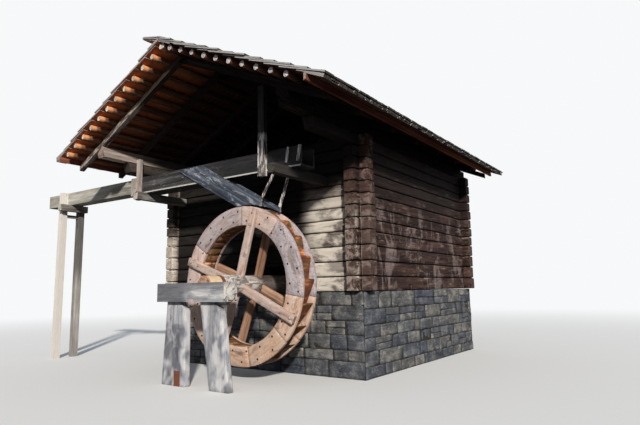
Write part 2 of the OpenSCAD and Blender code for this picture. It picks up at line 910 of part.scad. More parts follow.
module right_hanger() {
    color(grey_wood)
    block([right_post_x, right_post_x + post_w], [-flume_front - post_t, -flume_front],
          [flume_under(right_post_x) - post_drop, lean_z(right_post_x + post_w, rafter_top_d + rafter_d / 8)]);
}

bent_z = upper_under(-bent_x);

module bent_posts() {
    color(grey_wood) {
        block([-bent_x, -bent_x + bent_w], [-upper_front - bent_w, -upper_front], [0, bent_z + upper_h]);
        block([-bent_x, -bent_x + bent_w], [-upper_back, -upper_back + bent_w], [0, bent_z - bearer_h / 4]);
    }
}

module bent_bearer() {
    x = -bent_x + bent_w;
    color(grey_wood)
    along_y(-upper_front - bent_w - bent_reach, -upper_back + bent_w)
        flume_board(x, x + bearer_w, board_t - bearer_h, board_t - seat_gap, 0);
}

module bent_tie() {
    x = -bent_x + bent_w / 2;
    z = bent_z - bearer_h - tie_drop;
    color(grey_wood)
    block([x - tie_t / 2, x + tie_t / 2], [-upper_front, -upper_back], [z, z + tie_h]);
}

front_base();
back_base();
left_base();
right_base();
front_wall();
back_wall();
left_wall();
right_wall();
left_plate();
right_plate();
left_rafters();
right_rafters();
left_battens();
right_battens();
left_shingles();
right_shingles();
eave_boards();
axle();
axle_band();
front_shroud();
back_shroud();
sole();
buckets();
front_arms();
back_arms();
trestle_beam();
left_leg();
right_leg();
leg_strap();
inner_bearing();
upper_trough();
main_trough();
chute();
chute_hangers();
trough_cleats();
left_hanger();
joint_board();
joint_bearer();
right_hanger();
end_bearer();
bent_posts();
bent_bearer();
bent_tie();
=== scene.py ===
"""Looks of the log watermill: hewn logs, rubble, split shingles, larch wheel, silvered flume and trestle."""

import json
import math

import bpy
import numpy as np
from mathutils import Matrix, Vector

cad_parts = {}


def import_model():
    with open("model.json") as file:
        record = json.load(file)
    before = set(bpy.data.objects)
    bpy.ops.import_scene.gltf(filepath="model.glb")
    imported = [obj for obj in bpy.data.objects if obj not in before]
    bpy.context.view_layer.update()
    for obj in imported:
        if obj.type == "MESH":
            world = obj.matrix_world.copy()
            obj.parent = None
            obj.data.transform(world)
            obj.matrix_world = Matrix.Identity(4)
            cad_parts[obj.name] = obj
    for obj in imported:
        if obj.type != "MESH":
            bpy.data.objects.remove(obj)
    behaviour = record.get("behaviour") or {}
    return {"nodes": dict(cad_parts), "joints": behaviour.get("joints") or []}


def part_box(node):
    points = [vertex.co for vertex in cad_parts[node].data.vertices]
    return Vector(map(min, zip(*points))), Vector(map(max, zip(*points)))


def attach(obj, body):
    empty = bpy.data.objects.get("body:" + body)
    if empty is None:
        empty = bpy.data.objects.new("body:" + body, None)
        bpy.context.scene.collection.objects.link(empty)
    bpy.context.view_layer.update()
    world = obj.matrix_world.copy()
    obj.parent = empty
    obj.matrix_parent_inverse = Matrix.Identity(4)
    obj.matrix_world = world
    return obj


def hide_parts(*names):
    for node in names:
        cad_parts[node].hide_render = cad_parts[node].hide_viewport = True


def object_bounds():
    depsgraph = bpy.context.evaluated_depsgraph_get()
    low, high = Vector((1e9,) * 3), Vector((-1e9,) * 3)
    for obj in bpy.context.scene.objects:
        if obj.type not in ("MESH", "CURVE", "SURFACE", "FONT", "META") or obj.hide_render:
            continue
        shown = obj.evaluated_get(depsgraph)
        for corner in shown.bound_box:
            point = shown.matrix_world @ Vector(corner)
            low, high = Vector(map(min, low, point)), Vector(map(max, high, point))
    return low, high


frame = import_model()
CAD_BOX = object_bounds()
NODES = frame["nodes"]

# Camera, fitted to the photograph
IMAGE_W = 640
FOCAL_PX = 516.85
SENSOR_MM = 36
CAMERA_PLACE = (5.0277, -5.3874, 1.0638)
HEADING = 0.6214
PITCH = 0.1474
ROLL = -0.017

# House
LOG_T = 0.16
HEAVY_LOG, HEAVY_LOGS = 0.187, 4
LIGHT_LOG, LIGHT_LOGS = 0.151, 8
COURSES = HEAVY_LOGS + LIGHT_LOGS
PORT_COURSES = 2
PORT_X = (0.195, 0.925)
TIP_CUT = 0.06
BASE_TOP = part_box("front_wall")[0].z

# Roof, by side: -1 is left and 1 is right
ROOF_PITCH = math.radians(25.4)
ROOF_LEAN = math.radians(1.1)
RIDGE_H = 4.1659
EAVE_OUT = {-1: 2.32, 1: 2.42}
SHINGLE_BUTT = 0.066
COURSES_OF_SHINGLES = 12
RIDGE_LIP, LIP_BEND, LIP_DROOP, LIP_T = 0.375, 0.1, 0.023, 0.033
BATTEN_R, BATTEN_H = 0.039, 0.07
RIDGE_BATTEN = 0.002
BATTENS = {-1: (11, 0.19, 2.2834), 1: (10, 0.155, 2.1384)}
BATTEN_IN = 0.05

# Wheel
AXIS = Vector(frame["joints"][0]["pos_m"])
WHEEL_R = (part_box("front_shroud")[1].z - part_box("front_shroud")[0].z) / 2
SHROUD_W = 0.235
INNER_R = WHEEL_R - SHROUD_W
SOLE_T = 0.026
BUCKETS = 22
ARM_ANGLES = (74, 160, 250, 335)
ARM_W = 0.105
ARM_ROOT = 0.072
ARM_INSET = 0.014
JOURNAL_R, JOURNAL_L = 0.108, 0.262
# Angle at which each felloe starts, its tone and how warm its colour is
FELLOES = ((-9, 0.62, 0.1), (50.5, 0.72, 0.55), (89, 0.42, 0.22), (146, 0.8, 0.5), (197, 0.65, 0.75),
           (238, 0.6, 0.95), (280, 0.5, 1.0), (318, 0.7, 0.92))
CHUTE_PITCH = math.radians(28.7)


def joint_z(course):
    """Height of the joint below a course of logs."""
    return BASE_TOP + min(course, HEAVY_LOGS) * HEAVY_LOG + max(course - HEAVY_LOGS, 0) * LIGHT_LOG


def stack(*parts):
    """Arrays side by side, as columns."""
    return np.column_stack(parts)


def wobble(points, size, seed, octaves=3):
    """Smooth noise of about -1 to 1 at the points, with waves about size long."""
    rng = np.random.default_rng(seed)
    total = np.zeros(len(points))
    for octave in range(octaves):
        ways = rng.normal(size=(5, 3))
        ways /= np.linalg.norm(ways, axis=1)[:, None]
        ways *= 2 * math.pi / (size / 2 ** octave)
        total += np.sin(points @ ways.T + rng.uniform(0, 2 * math.pi, 5)).sum(1) / 3.5 / 2 ** octave
    return total


def show(name, data):
    """A new object of the scene."""
    obj = bpy.data.objects.new(name, data)
    bpy.context.scene.collection.objects.link(obj)
    return obj


class Pile:
    """Closed solids gathered into one mesh, each with its own grain, heart and tone."""

    def __init__(self, seed):
        self.rng = np.random.default_rng(seed)
        self.points, self.grain, self.heart = [], [], []
        self.faces, self.smooth, self.tone, self.end, self.warm = [], [], [], [], []
        self.count = 0

    def add(self, points, faces, ends=(), grain=None, heart=None, tone=None, flat=False, warm=0.5):
        """Adds one solid, kept inside the CAD model's box. ends are the numbers of the faces across the grain."""
        local = np.asarray(grain if grain is not None else points, float)
        away = self.rng.uniform(-20, 20, 3)
        tone = self.rng.uniform() if tone is None else tone
        self.points.append(np.clip(np.asarray(points, float), *CAD_BOX))
        self.grain.append(local + away)
        self.heart.append(np.asarray(heart if heart is not None else local, float))
        ends = set(ends)
        for number, face in enumerate(faces):
            self.faces.append([i + self.count for i in face])
            self.smooth.append(not flat and number not in ends)
            self.tone.append(tone)
            self.end.append(1.0 if number in ends else 0.0)
            self.warm.append(warm)
        self.count += len(points)

    def piece(self, name, material, body, slot, *replaced):
        """Makes the mesh object, rides it on its body and hides the nodes that it stands for."""
        mesh = bpy.data.meshes.new(name)
        mesh.from_pydata(np.concatenate(self.points).tolist(), [], self.faces)
        for label, values in (("grain", self.grain), ("heart", self.heart)):
            layer = mesh.attributes.new(label, "FLOAT_VECTOR", "POINT")
            layer.data.foreach_set("vector", np.concatenate(values).astype(np.float32).ravel())
        for label, values in (("tone", self.tone), ("end", self.end), ("warm", self.warm)):
            layer = mesh.attributes.new(label, "FLOAT", "FACE")
            layer.data.foreach_set("value", np.array(values, np.float32))
        mesh.polygons.foreach_set("use_smooth", self.smooth)
        mesh.materials.append(MATERIALS[material])
        mesh.update()
        obj = show(name, mesh)
        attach(obj, body)
        if replaced:
            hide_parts(*replaced)


def rectangle(width, height, corner, sides=3):
    """Outline of a beam's section, with cut corners and points along its sides."""
    half_w, half_h = width / 2, height / 2
    along_w = np.linspace(-half_w + corner, half_w - corner, sides + 2)
    along_h = np.linspace(-half_h + corner, half_h - corner, sides + 2)
    return np.array([(y, -half_h) for y in along_w] + [(half_w, z) for z in along_h]
                    + [(y, half_h) for y in along_w[::-1]] + [(-half_w, z) for z in along_h[::-1]])


def round_section(radius, flat=None, sides=16):
    """Outline of a pole's section, hewn flat below and above where flat gives its height."""
    angles = np.arange(sides) * 2 * math.pi / sides
    points = stack(np.cos(angles), np.sin(angles)) * radius
    if flat:
        points[:, 1] = np.clip(points[:, 1], -flat / 2, flat / 2)
    return points


def tube(rings, n):
    """Side faces of a row of rings of n points each."""
    return [[r * n + i, r * n + (i + 1) % n, (r + 1) * n + (i + 1) % n, (r + 1) * n + i]
            for r in range(rings - 1) for i in range(n)]


def beam(pile, length, outline, place, step=0.08, edge=0.004, rough=0.002, wave=0.12, stretch=0.3,
         shape=None, grain=None, pith=0.02, tone=None, warm=0.5):
    """One board, log or felloe: outline carried along x over length, worked by shape and set by place."""
    seed = int(pile.rng.integers(1 << 30))
    count = max(2, round(length / step)) + 1
    inner = np.linspace(edge, length - edge, count)
    stations = np.concatenate([[0], inner, [length]])
    size = np.abs(outline).max(0)
    shrink = 1 - edge / size
    rings = []
    for number, x in enumerate(stations):
        ring = outline * (shrink if number in (0, len(stations) - 1) else 1)
        rings.append(stack(np.full(len(ring), x), ring))
    local = np.concatenate(rings)
    out = stack(np.zeros(len(local)), local[:, 1:] / np.linalg.norm(local[:, 1:], axis=1)[:, None])
    push = wobble(local * (stretch, 1, 1), wave, seed) * rough
    worked = local + out * push[:, None]
    if shape:
        worked = shape(worked)
    n = len(outline)
    faces = tube(len(stations), n)
    ends = [len(faces), len(faces) + 1]
    faces += [list(range(n))[::-1], list(range(len(local) - n, len(local)))]
    shift = pile.rng.normal(0, pith, 2)
    own = grain(worked) if grain else worked
    heart = own + np.array([0, *shift])
    pile.add(place(worked), faces, ends, own, heart, tone, warm=warm)


def between(start, end, up=(0, 0, 1)):
    """Length from start to end, and a function that sets local points along that line, z nearest up."""
    start, end, up = np.array(start, float), np.array(end, float), np.array(up, float)
    x = (end - start) / np.linalg.norm(end - start)
    z = up - x * (up @ x)
    z /= np.linalg.norm(z)
    basis = np.array([x, np.cross(z, x), z])
    return np.linalg.norm(end - start), lambda points: start + points @ basis


def plank(pile, start, end, width, height, up=(0, 0, 1), corner=0.004, sides=2, **more):
    """A straight timber between two points, width across and height along up."""
    length, place = between(start, end, up)
    beam(pile, length, rectangle(width, height, corner, sides), place, **more)


class Shader:
    """Short calls for the nodes of a material or a world."""

    def __init__(self, owner):
        owner.use_nodes = True
        self.owner, self.tree = owner, owner.node_tree
        self.tree.nodes.clear()

    def node(self, kind, inputs=(), **settings):
        made = self.tree.nodes.new("ShaderNode" + kind)
        for key, value in settings.items():
            setattr(made, key, value)
        for key, value in dict(inputs).items():
            if isinstance(value, bpy.types.NodeSocket):
                self.tree.links.new(value, made.inputs[key])
            else:
                made.inputs[key].default_value = value
        return made

    def attribute(self, name, output="Fac"):
        return self.node("Attribute", attribute_name=name).outputs[output]

    def coords(self, kind="Object"):
        return self.node("TexCoord").outputs[kind]

    def axis(self, vector, number):
        return self.node("SeparateXYZ", {0: vector}).outputs[number]

    def math(self, operation, a, b=0.0):
        return self.node("Math", {0: a, 1: b}, operation=operation).outputs[0]

    def add(self, a, b):
        return self.math("ADD", a, b)

    def times(self, a, b):
        return self.math("MULTIPLY", a, b)

    def apart(self, a, b):
        return self.math("ABSOLUTE", self.math("SUBTRACT", a, b))

    def scaled(self, vector, scale):
        return self.node("VectorMath", {0: vector, 1: scale}, operation="MULTIPLY").outputs[0]

    def turned(self, vector, turn):
        return self.node("Mapping", {"Vector": vector, "Rotation": turn}).outputs[0]

    def noise(self, vector, scale=1.0, detail=4.0, roughness=0.55, distortion=0.0):
        made = self.node("TexNoise", {"Vector": vector, "Scale": scale, "Detail": detail,
                                      "Roughness": roughness, "Distortion": distortion})
        return made.outputs["Fac"]

    def step(self, value, low, high, to_low=0.0, to_high=1.0):
        made = self.node("MapRange", {"Value": value, "From Min": low, "From Max": high,
                                      "To Min": to_low, "To Max": to_high}, interpolation_type="SMOOTHSTEP")
        return made.outputs[0]

    def ramp(self, value, *stops):
        made = self.node("ValToRGB", {"Fac": value})
        band = made.color_ramp
        while len(band.elements) < len(stops):
            band.elements.new(0.5)
        for element, (place, colour) in zip(band.elements, stops):
            element.position = place
            element.color = (*colour, 1)
        return made.outputs["Color"]

    def mix(self, factor, a, b, blend="MIX"):
        a, b = (value if isinstance(value, bpy.types.NodeSocket) else (*value, 1) for value in (a, b))
        return self.node("Mix", {0: factor, 6: a, 7: b}, data_type="RGBA", blend_type=blend).outputs[2]

    def surface(self, colour, roughness, height, depth, metallic=0.0, specular=0.3):
        bump = self.node("Bump", {"Height": height, "Distance": depth, "Strength": 1.0})
        shader = self.node("BsdfPrincipled", {"Base Color": colour, "Roughness": roughness, "Metallic": metallic,
                                              "Specular IOR Level": specular, "Normal": bump.outputs[0]})
        self.node("OutputMaterial", {"Surface": shader.outputs[0]})
        return self.owner


def dim(colour, share):
    """A colour made darker, or lighter up to white."""
    return tuple(min(1, c * share) for c in colour)


# Coats: what weather, damp, painted shade and painted sunlight lay over a wood, in turn. Each is a colour, and then
# the terms whose product is the share laid. The colour may be two, which the fibres mix, or two with the terms that
# mix them. A term is a number, the greater of two terms ("max"), or a smooth step: over noise in the grain or in
# place (scale, detail, roughness and distortion), or over one of these measures of the object's points and faces.
FLUME_FALL = 0.012
MEASURES = {
    "x": lambda s: s.axis(s.coords(), 0),
    "y": lambda s: s.axis(s.coords(), 1),
    "z": lambda s: s.axis(s.coords(), 2),
    "over_flume": lambda s: s.add(s.axis(s.coords(), 2), s.times(s.axis(s.coords(), 0), FLUME_FALL)),
    "back": lambda s: s.axis(s.coords("Normal"), 1),
    "up": lambda s: s.axis(s.coords("Normal"), 2),
    "level": lambda s: s.math("ABSOLUTE", s.axis(s.coords("Normal"), 2)),
    "off_silver": lambda s: s.apart(s.attribute("tone"), FELLOES[0][1]),
}


def term(s, grain, spec):
    """The factor that one term stands for."""
    if isinstance(spec, float):
        return spec
    kind, *values = spec
    if kind == "max":
        return s.math("MAXIMUM", *(term(s, grain, value) for value in values))
    if kind in MEASURES:
        return s.step(MEASURES[kind](s), *values)
    scale, detail, roughness, distortion, *steps = values
    base = grain if kind == "grain" else s.coords()
    return s.step(s.noise(s.scaled(base, scale), 1.0, detail, roughness, distortion), *steps)


def product(s, grain, specs):
    """The product of some terms."""
    total = term(s, grain, specs[0])
    for spec in specs[1:]:
        total = s.times(total, term(s, grain, spec))
    return total


def paint(s, grain, fine, colour):
    """The colour of a coat."""
    if isinstance(colour[0], float):
        return colour
    low, high, *terms = colour
    return s.mix(product(s, grain, terms) if terms else fine, paint(s, grain, fine, low), paint(s, grain, fine, high))


RIGHT_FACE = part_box("right_wall")[1].x
BEAM_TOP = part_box("trestle_beam")[1].z
FLUME_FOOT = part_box("main_trough")[0].z + FLUME_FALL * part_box("main_trough")[1].x
RIGHT_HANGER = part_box("right_hanger")[0].x
ON_RIGHT_HANGER = ("x", RIGHT_HANGER - 0.03, RIGHT_HANGER - 0.02)
FRONT_FACES = ("back", -0.6, -0.8)
NOT_FRONT_FACES = ("back", -0.6, -0.8, 1.0, 0.0)
# Near-black, for painted shade deep in under the roof
DEEP_SHADE = (0.012, 0.008, 0.006)

COATS = {
    # Painted shade, near-black behind the wheel and under the roof; painted sunlight, pale cream in patches low on the
    # right; and reddish at the log ends
    "front_logs": (
        ((0.007, 0.007, 0.007), ("max", ("x", 1.1, 0.85), ("z", 2.25, 2.55)), 0.93),
        (((0.46, 0.4, 0.33), (0.95, 0.88, 0.78)), ("z", 2.4, 2.05), ("x", 0.8, 1.15),
         ("grain", (2.2, 5, 5), 5, 0.65, 0.4, 0.4, 0.56), 0.85),
        ((((0.016, 0.009, 0.008), (0.105, 0.056, 0.047)), (0.27, 0.2, 0.175),
          ("place", (7, 7, 7), 5, 0.7, 0.6, 0.5, 0.6), 0.55),
         ("x", RIGHT_FACE - 0.01, RIGHT_FACE + 0.01), 0.94)),
    # Log ends at the left corner, with painted shade dark above and painted sunlight cream below
    "left_logs": (
        (((0.016, 0.012, 0.01), ((0.42, 0.35, 0.29), (0.86, 0.77, 0.67)), ("z", 2.00, 1.8)),
         ("y", 0.0, -0.06), 0.85),),
    # Log ends reddish above and paler below; on the walls painted sunlight in pale patches low down, and painted shade,
    # near-black under the eave and high up at the front under the roof
    "side_logs": (
        (((0.24, 0.185, 0.155), (0.62, 0.52, 0.45)), ("y", -0.02, -0.1), ("z", 2.3, 1.7),
         ("place", (6, 6, 6), 5, 0.7, 0.6, 0.44, 0.56), 0.8),
        (((0.075, 0.05, 0.046), (0.4, 0.31, 0.295)), ("y", 0.05, 0.1), ("z", 2.35, 1.95), 0.72,
         ("place", (3.3, 3.3, 1.65), 8, 0.75, 0.6, 0.5, 0.6)),
        ((0.01, 0.007, 0.007), ("y", 0.05, 0.1), ("z", 2.05, 2.45), 0.72),
        ((0.009, 0.006, 0.006), ("y", 0.3, 0.0), ("z", 2.45, 2.65), 0.97)),
    # Painted shade on the plates and the right rafter, near-black where they run in under the roof
    "left_plate": ((DEEP_SHADE, ("y", -0.8, -0.3), 0.8),),
    "right_plate": ((DEEP_SHADE, ("y", -0.8, -0.3), 0.8),),
    "right_rafter": ((DEEP_SHADE, ("y", -1.36, -1.28), 0.9),),
    # Painted shade, near-black behind the front face and high up; painted sunlight, pale grey and ragged low down in
    # front
    "left_rafter": (
        ((0.016, 0.011, 0.009), ("y", -1.36, -1.28), 0.85),
        ((0.02, 0.014, 0.011), ("z", 3.48, 3.6), 0.88),
        (((0.075, 0.056, 0.045), ((0.22, 0.18, 0.15), (0.74, 0.65, 0.58)),
          ("grain", (6, 30, 30), 4, 0.7, 0.5, 0.44, 0.56)), ("y", -1.28, -1.31), ("z", 3.58, 3.5), 0.85)),
    # A hand's breadth painted bright in front, where the sun reaches, and painted shade deeper in under the roof
    "left_batten": (
        (((0.5, 0.17, 0.06), (0.88, 0.44, 0.2)), ("y", -1.555, -1.6), 0.9, NOT_FRONT_FACES),
        (DEEP_SHADE, ("y", -1.35, -0.3), 0.8)),
    # Painted shade: near-black but for the front ends
    "right_batten": ((DEEP_SHADE, ("y", -1.6, -1.45), 0.9),),
    "eave_board": ((((0.32, 0.1, 0.038), (0.66, 0.27, 0.11)), ("y", 0.8, 2.6), 0.6),),
    # Silver above and at the verges; orange-brown below, partly painted bounce light near the front; and painted shade,
    # black deep in under the roof and under the right slope
    "shingle": (
        ((0.3, 0.29, 0.2), ("grain", (9, 9, 9), 5, 0.75, 0.0, 0.63, 0.72), 0.4),
        (((0.085, 0.08, 0.08), (0.56, 0.54, 0.53)), ("level", 0.35, 0.15), ("y", -1.6, -1.66), 0.75),
        ((((0.25, 0.062, 0.022), (0.82, 0.25, 0.088)), (0.014, 0.008, 0.006),
          ("max", ("y", -1.4, -0.3), ("x", -0.15, 0.1)), 0.9), ("up", -0.45, -0.75))),
    # Grey mottling, bleached spots and damp stains, and wrinkles on the silver felloe
    "wheel": (
        ((0.185, 0.155, 0.15), ("grain", (4.5, 9, 9), 6, 0.7, 1.2, 0.5, 0.66), 0.55),
        ((0.72, 0.64, 0.6), ("grain", (7.8, 14.3, 14.3), 5, 0.65, 0.9, 0.58, 0.7), 0.55),
        ((0.17, 0.15, 0.155), ("grain", (17, 11, 11), 5, 0.65, 2.2, 0.49, 0.6),
         ("off_silver", 0.008, 0.002, 0.1, 0.52)),
        ((0.095, 0.05, 0.038), ("grain", (2.5, 5, 5), 5, 0.7, 0.8, 0.57, 0.68), 0.65)),
    # Dark damp, olive moss and stains
    "bucket": (
        (((0.045, 0.015, 0.011), (0.21, 0.07, 0.045)), ("place", (6.5, 6.5, 6.5), 3, 0.6, 0.5, 0.48, 0.54), 0.85),
        ((0.115, 0.08, 0.03), ("grain", (3.5, 9, 9), 5, 0.7, 0.6, 0.46, 0.58), 0.75),
        ((0.06, 0.024, 0.015), ("grain", (5, 14, 14), 5, 0.7, 0.5, 0.5, 0.62), 0.78)),
    # Cream before the band with a red rim, pale grey behind it, and painted shade, dark behind the wheel
    "axle": (
        ((0.085, 0.07, 0.064), ("grain", (6, 14, 14), 5, 0.7, 0.8, 0.46, 0.56), 0.8),
        (((0.52, 0.33, 0.17), (0.86, 0.7, 0.46)), ("y", -1.19, -1.23), 0.85, NOT_FRONT_FACES),
        ((0.4, 0.085, 0.045), ("y", -1.385, -1.405), 0.8, NOT_FRONT_FACES),
        ((0.035, 0.024, 0.018), ("y", -0.7, -0.5), 0.85)),
    # The right hanger ragged, and painted shade, dark up under the roof
    "hanger": (
        (((0.06, 0.048, 0.05), (0.74, 0.71, 0.7), ("grain", (4, 34, 34), 4, 0.7, 0.5, 0.46, 0.54)),
         ON_RIGHT_HANGER, 0.85),
        ((0.013, 0.011, 0.011), ("z", 2.93, 3.00), ON_RIGHT_HANGER, 0.96)),
    # The front post cream, the back post dark above
    "bent_post": (
        (((0.52, 0.48, 0.43), (0.9, 0.86, 0.79)), ("y", -0.6, -0.7), 0.85),
        ((0.05, 0.045, 0.042), ("y", -0.6, -0.55), ("z", 1.1, 1.6), 0.75)),
    # Painted shade: the end bearer black under the roof, but for its sawn end
    "silver_y": (((0.016, 0.014, 0.013), ("x", 0.4, 0.6), ("y", -1.22, -1.12), 0.9),),
    # Broad soft stains on the legs
    "silver": (
        ((0.062, 0.066, 0.082), ("place", (2.6, 2.6, 2.0), 4, 0.6, 0.6, 0.46, 0.62), 0.72),
        ((0.15, 0.18, 0.3), ("place", (16, 16, 1.2), 3, 0.6, 0.4, 0.58, 0.66), 0.35),
        (((0.44, 0.43, 0.44), (0.84, 0.83, 0.83)), ("place", (5.78, 5.78, 3.74), 2, 0.5, 0.3, 0.44, 0.62), 0.72)),
    # Painted shade on the trestle beam, dark to the left and along its top, and painted sunlight, pale low down and to
    # the right
    "silver_x": (
        ((0.07, 0.073, 0.085), ("max", ("x", 0.5, 0.2, 0.0, 0.62),
                                 ("z", BEAM_TOP - 0.06, BEAM_TOP - 0.015, 0.0, 0.45))),
        (((0.42, 0.41, 0.41), (0.86, 0.84, 0.82)), ("grain", (3.5, 9, 9), 4, 0.6, 0.4, 0.46, 0.62),
         ("z", BEAM_TOP - 0.05, BEAM_TOP - 0.12), ("x", 0.25, 0.45), 0.75)),
    # Whitish flecks, painted shade black under the roof, and a pale lower lip on the front faces, partly wear and
    # partly painted sunlight
    "main_flume": (
        ((0.46, 0.46, 0.47), ("grain", (9, 26, 26), 6, 0.75, 0.8, 0.58, 0.66), 0.55),
        ((0.013, 0.013, 0.014), ("x", -0.6, 0.3), 0.88),
        ((0.62, 0.61, 0.58), ("over_flume", FLUME_FOOT + 0.022, FLUME_FOOT + 0.012), FRONT_FACES, 0.8)),
    "chute": (
        (((0.16, 0.18, 0.22), (0.55, 0.58, 0.64)), ("grain", (2.4, 9, 9), 5, 0.7, 0.6, 0.52, 0.62), 0.6),
        ((0.62, 0.64, 0.68), ("grain", (7, 20, 20), 6, 0.75, 0.8, 0.56, 0.66), 0.6)),
}
COATS["sole"] = COATS["bucket"]

# Turns that lay a CAD node's own coordinates along its grain
GRAIN_TURNS = {"x": (0, 0, 0), "y": (0, 0, -math.pi / 2), "z": (0, math.pi / 2, 0),
               "right_slope": (0, ROOF_LEAN - ROOF_PITCH, 0), "left_slope": (0, ROOF_LEAN + ROOF_PITCH, 0),
               "chute": (0, -CHUTE_PITCH, 0)}


def wood(name, dark, mid, light, end=(0.55, 0.42, 0.3), axis=None, streak=30, fibre=160, patch=2.5, crack=0.5,
         knots=0.25, relief=0.004, grey=None, grey_share=0.5, line=0.02, warmth=False, shine=0.18):
    """Weathered wood with streaks, fibres, checks, knots, grey patches and end grain, under its coats."""
    s = Shader(bpy.data.materials.new(name))
    if axis:
        turn = GRAIN_TURNS[axis]
        grain = heart = s.turned(s.coords(), turn)
        flat = s.node("VectorTransform", {"Vector": s.node("NewGeometry").outputs["True Normal"]},
                      vector_type="NORMAL", convert_from="WORLD", convert_to="OBJECT")
        across = s.axis(s.turned(flat.outputs[0], turn), 0)
        end_face = s.step(s.math("ABSOLUTE", across), 0.8, 0.9)
        tone = s.node("NewGeometry").outputs["Random Per Island"]
    else:
        grain, heart = s.attribute("grain", "Vector"), s.attribute("heart", "Vector")
        end_face, tone = s.attribute("end"), s.attribute("tone")
    noise = lambda along, across, *more: s.noise(s.scaled(grain, (along, across, across)), *more)
    wide = noise(1.1, streak, 1.0, 5, 0.6, 0.4)
    fine = noise(7, fibre, 1.0, 3, 0.65)
    patches = noise(patch * 0.5, patch * 2, 1.0, 4, 0.6)
    value = s.add(s.times(wide, 0.65), s.times(fine, 0.35))
    value = s.add(value, s.times(s.math("SUBTRACT", patches, 0.5), 0.5))
    colour = s.ramp(value, (0.34, dark), (0.5, mid), (0.66, light))
    if grey:
        worn = s.step(noise(patch, patch * 5, 1.3, 5, 0.65, 0.3), 0.62 - grey_share * 0.3, 0.78 - grey_share * 0.3)
        colour = s.mix(worn, colour, s.mix(fine, dim(grey, 0.72), dim(grey, 1.2)))
    # Knots, long ovals with a dark heart
    cells = s.node("TexVoronoi", {"Vector": s.scaled(grain, (2.6, 8, 8)), "Scale": 1.0, "Randomness": 1.0})
    chosen = s.step(s.node("SeparateColor", {0: cells.outputs["Color"]}).outputs[0], 1 - knots, 1.0 - knots + 0.02)
    colour = s.mix(s.times(s.step(cells.outputs["Distance"], 0.17, 0.1), chosen), colour, dim(dark, 0.45))
    # Checks, thin dark lines along the grain that come and go
    where = s.step(noise(1.2, 5, 1.0, 2), 0.66 - crack * 0.3, 0.72 - crack * 0.3)
    check = s.times(s.step(s.apart(noise(1.6, 26, 1.0, 2, 0.5, 0.8), 0.5), line, line / 5), where)
    colour = s.mix(check, colour, dim(dark, 0.16))
    # End grain: rings round the heart, with checks that run out from it
    y, z = s.axis(heart, 1), s.axis(heart, 2)
    far = s.math("SQRT", s.add(s.times(y, y), s.times(z, z)))
    ripple = s.add(s.times(far, 620), s.times(s.noise(heart, 14, 3), 9))
    ring = s.add(s.times(s.math("SINE", ripple), 0.5), 0.5)
    spoke = s.node("CombineXYZ", {0: s.times(s.math("ARCTAN2", z, y), 2.4), 1: s.times(far, 3.0), 2: tone}).outputs[0]
    split = s.step(s.apart(s.noise(spoke, 3.2, 2, 0.6), 0.5), 0.028, 0.006)
    sawn = s.mix(ring, dim(end, 0.66), end)
    sawn = s.mix(s.step(s.noise(heart, 22, 4, 0.65), 0.42, 0.68), sawn, dim(end, 0.55))
    colour = s.mix(end_face, colour, s.mix(split, sawn, dim(end, 0.12)))
    shade = s.node("HueSaturation", {"Value": s.step(tone, 0, 1, 0.76, 1.2), "Color": colour})
    colour = shade.outputs[0]
    if warmth:
        cast = s.mix(s.attribute("warm"), (0.92, 0.96, 1.08), (1.22, 0.98, 0.76))
        colour = s.mix(1.0, colour, cast, "MULTIPLY")
    for over, *terms in COATS.get(name, ()):
        colour = s.mix(product(s, grain, terms), colour, paint(s, grain, fine, over))
    height = s.add(s.times(wide, 0.8), s.times(fine, 0.45))
    height = s.math("SUBTRACT", height, s.times(check, 1.6))
    height = s.math("SUBTRACT", height, s.times(s.times(end_face, split), 1.5))
    return s.surface(colour, 0.8, height, relief, specular=shine)


def stone(name):
    """Grey alpine rubble, each stone of its own tone, with lichen and dark hollows."""
    s = Shader(bpy.data.materials.new(name))
    grain = s.attribute("grain", "Vector")
    large = s.noise(grain, 6, 5, 0.6)
    small = s.noise(grain, 60, 5, 0.7)
    layers = s.noise(s.scaled(grain, (6, 6, 45)), 1.0, 4, 0.6, 0.5)
    value = s.add(s.add(s.times(large, 0.5), s.times(small, 0.3)), s.times(layers, 0.2))
    colour = s.ramp(value, (0.37, (0.026, 0.029, 0.036)), (0.5, (0.092, 0.096, 0.105)), (0.63, (0.27, 0.265, 0.25)))
    colour = s.mix(1.0, colour, s.mix(s.attribute("tone"), (0.62, 0.68, 0.8), (1.25, 1.18, 1.05)), "MULTIPLY")
    lichen = s.step(s.noise(grain, 24, 5, 0.75), 0.6, 0.68)
    colour = s.mix(s.times(lichen, 0.4), colour, (0.34, 0.34, 0.31))
    moss = s.step(s.noise(grain, 5, 5, 0.75), 0.63, 0.72)
    colour = s.mix(s.times(moss, 0.55), colour, (0.16, 0.17, 0.08))
    return s.surface(colour, 0.9, s.add(large, s.times(small, 0.5)), 0.008, specular=0.2)


def filling(name):
    """Dark earth, moss and chips in the joints."""
    s = Shader(bpy.data.materials.new(name))
    grit = s.noise(s.coords(), 45, 6, 0.75)
    colour = s.ramp(grit, (0.38, (0.012, 0.011, 0.01)), (0.62, (0.06, 0.055, 0.048)))
    return s.surface(colour, 0.95, grit, 0.012, specular=0.1)


def iron(name, rust=(0.2, 0.07, 0.034), bare=(0.07, 0.062, 0.058), share=0.4):
    """Forged iron, rusted in patches."""
    s = Shader(bpy.data.materials.new(name))
    coarse = s.noise(s.coords(), 30, 5, 0.7)
    fine = s.noise(s.coords(), 220, 4, 0.7)
    worn = s.step(coarse, 0.62 - share * 0.3, 0.74 - share * 0.3)
    colour = s.mix(worn, bare, s.mix(fine, dim(rust, 0.55), dim(rust, 1.5)))
    return s.surface(colour, s.step(worn, 0, 1, 0.5, 0.9), s.add(coarse, s.times(fine, 0.6)), 0.002, 0.35, 0.4)


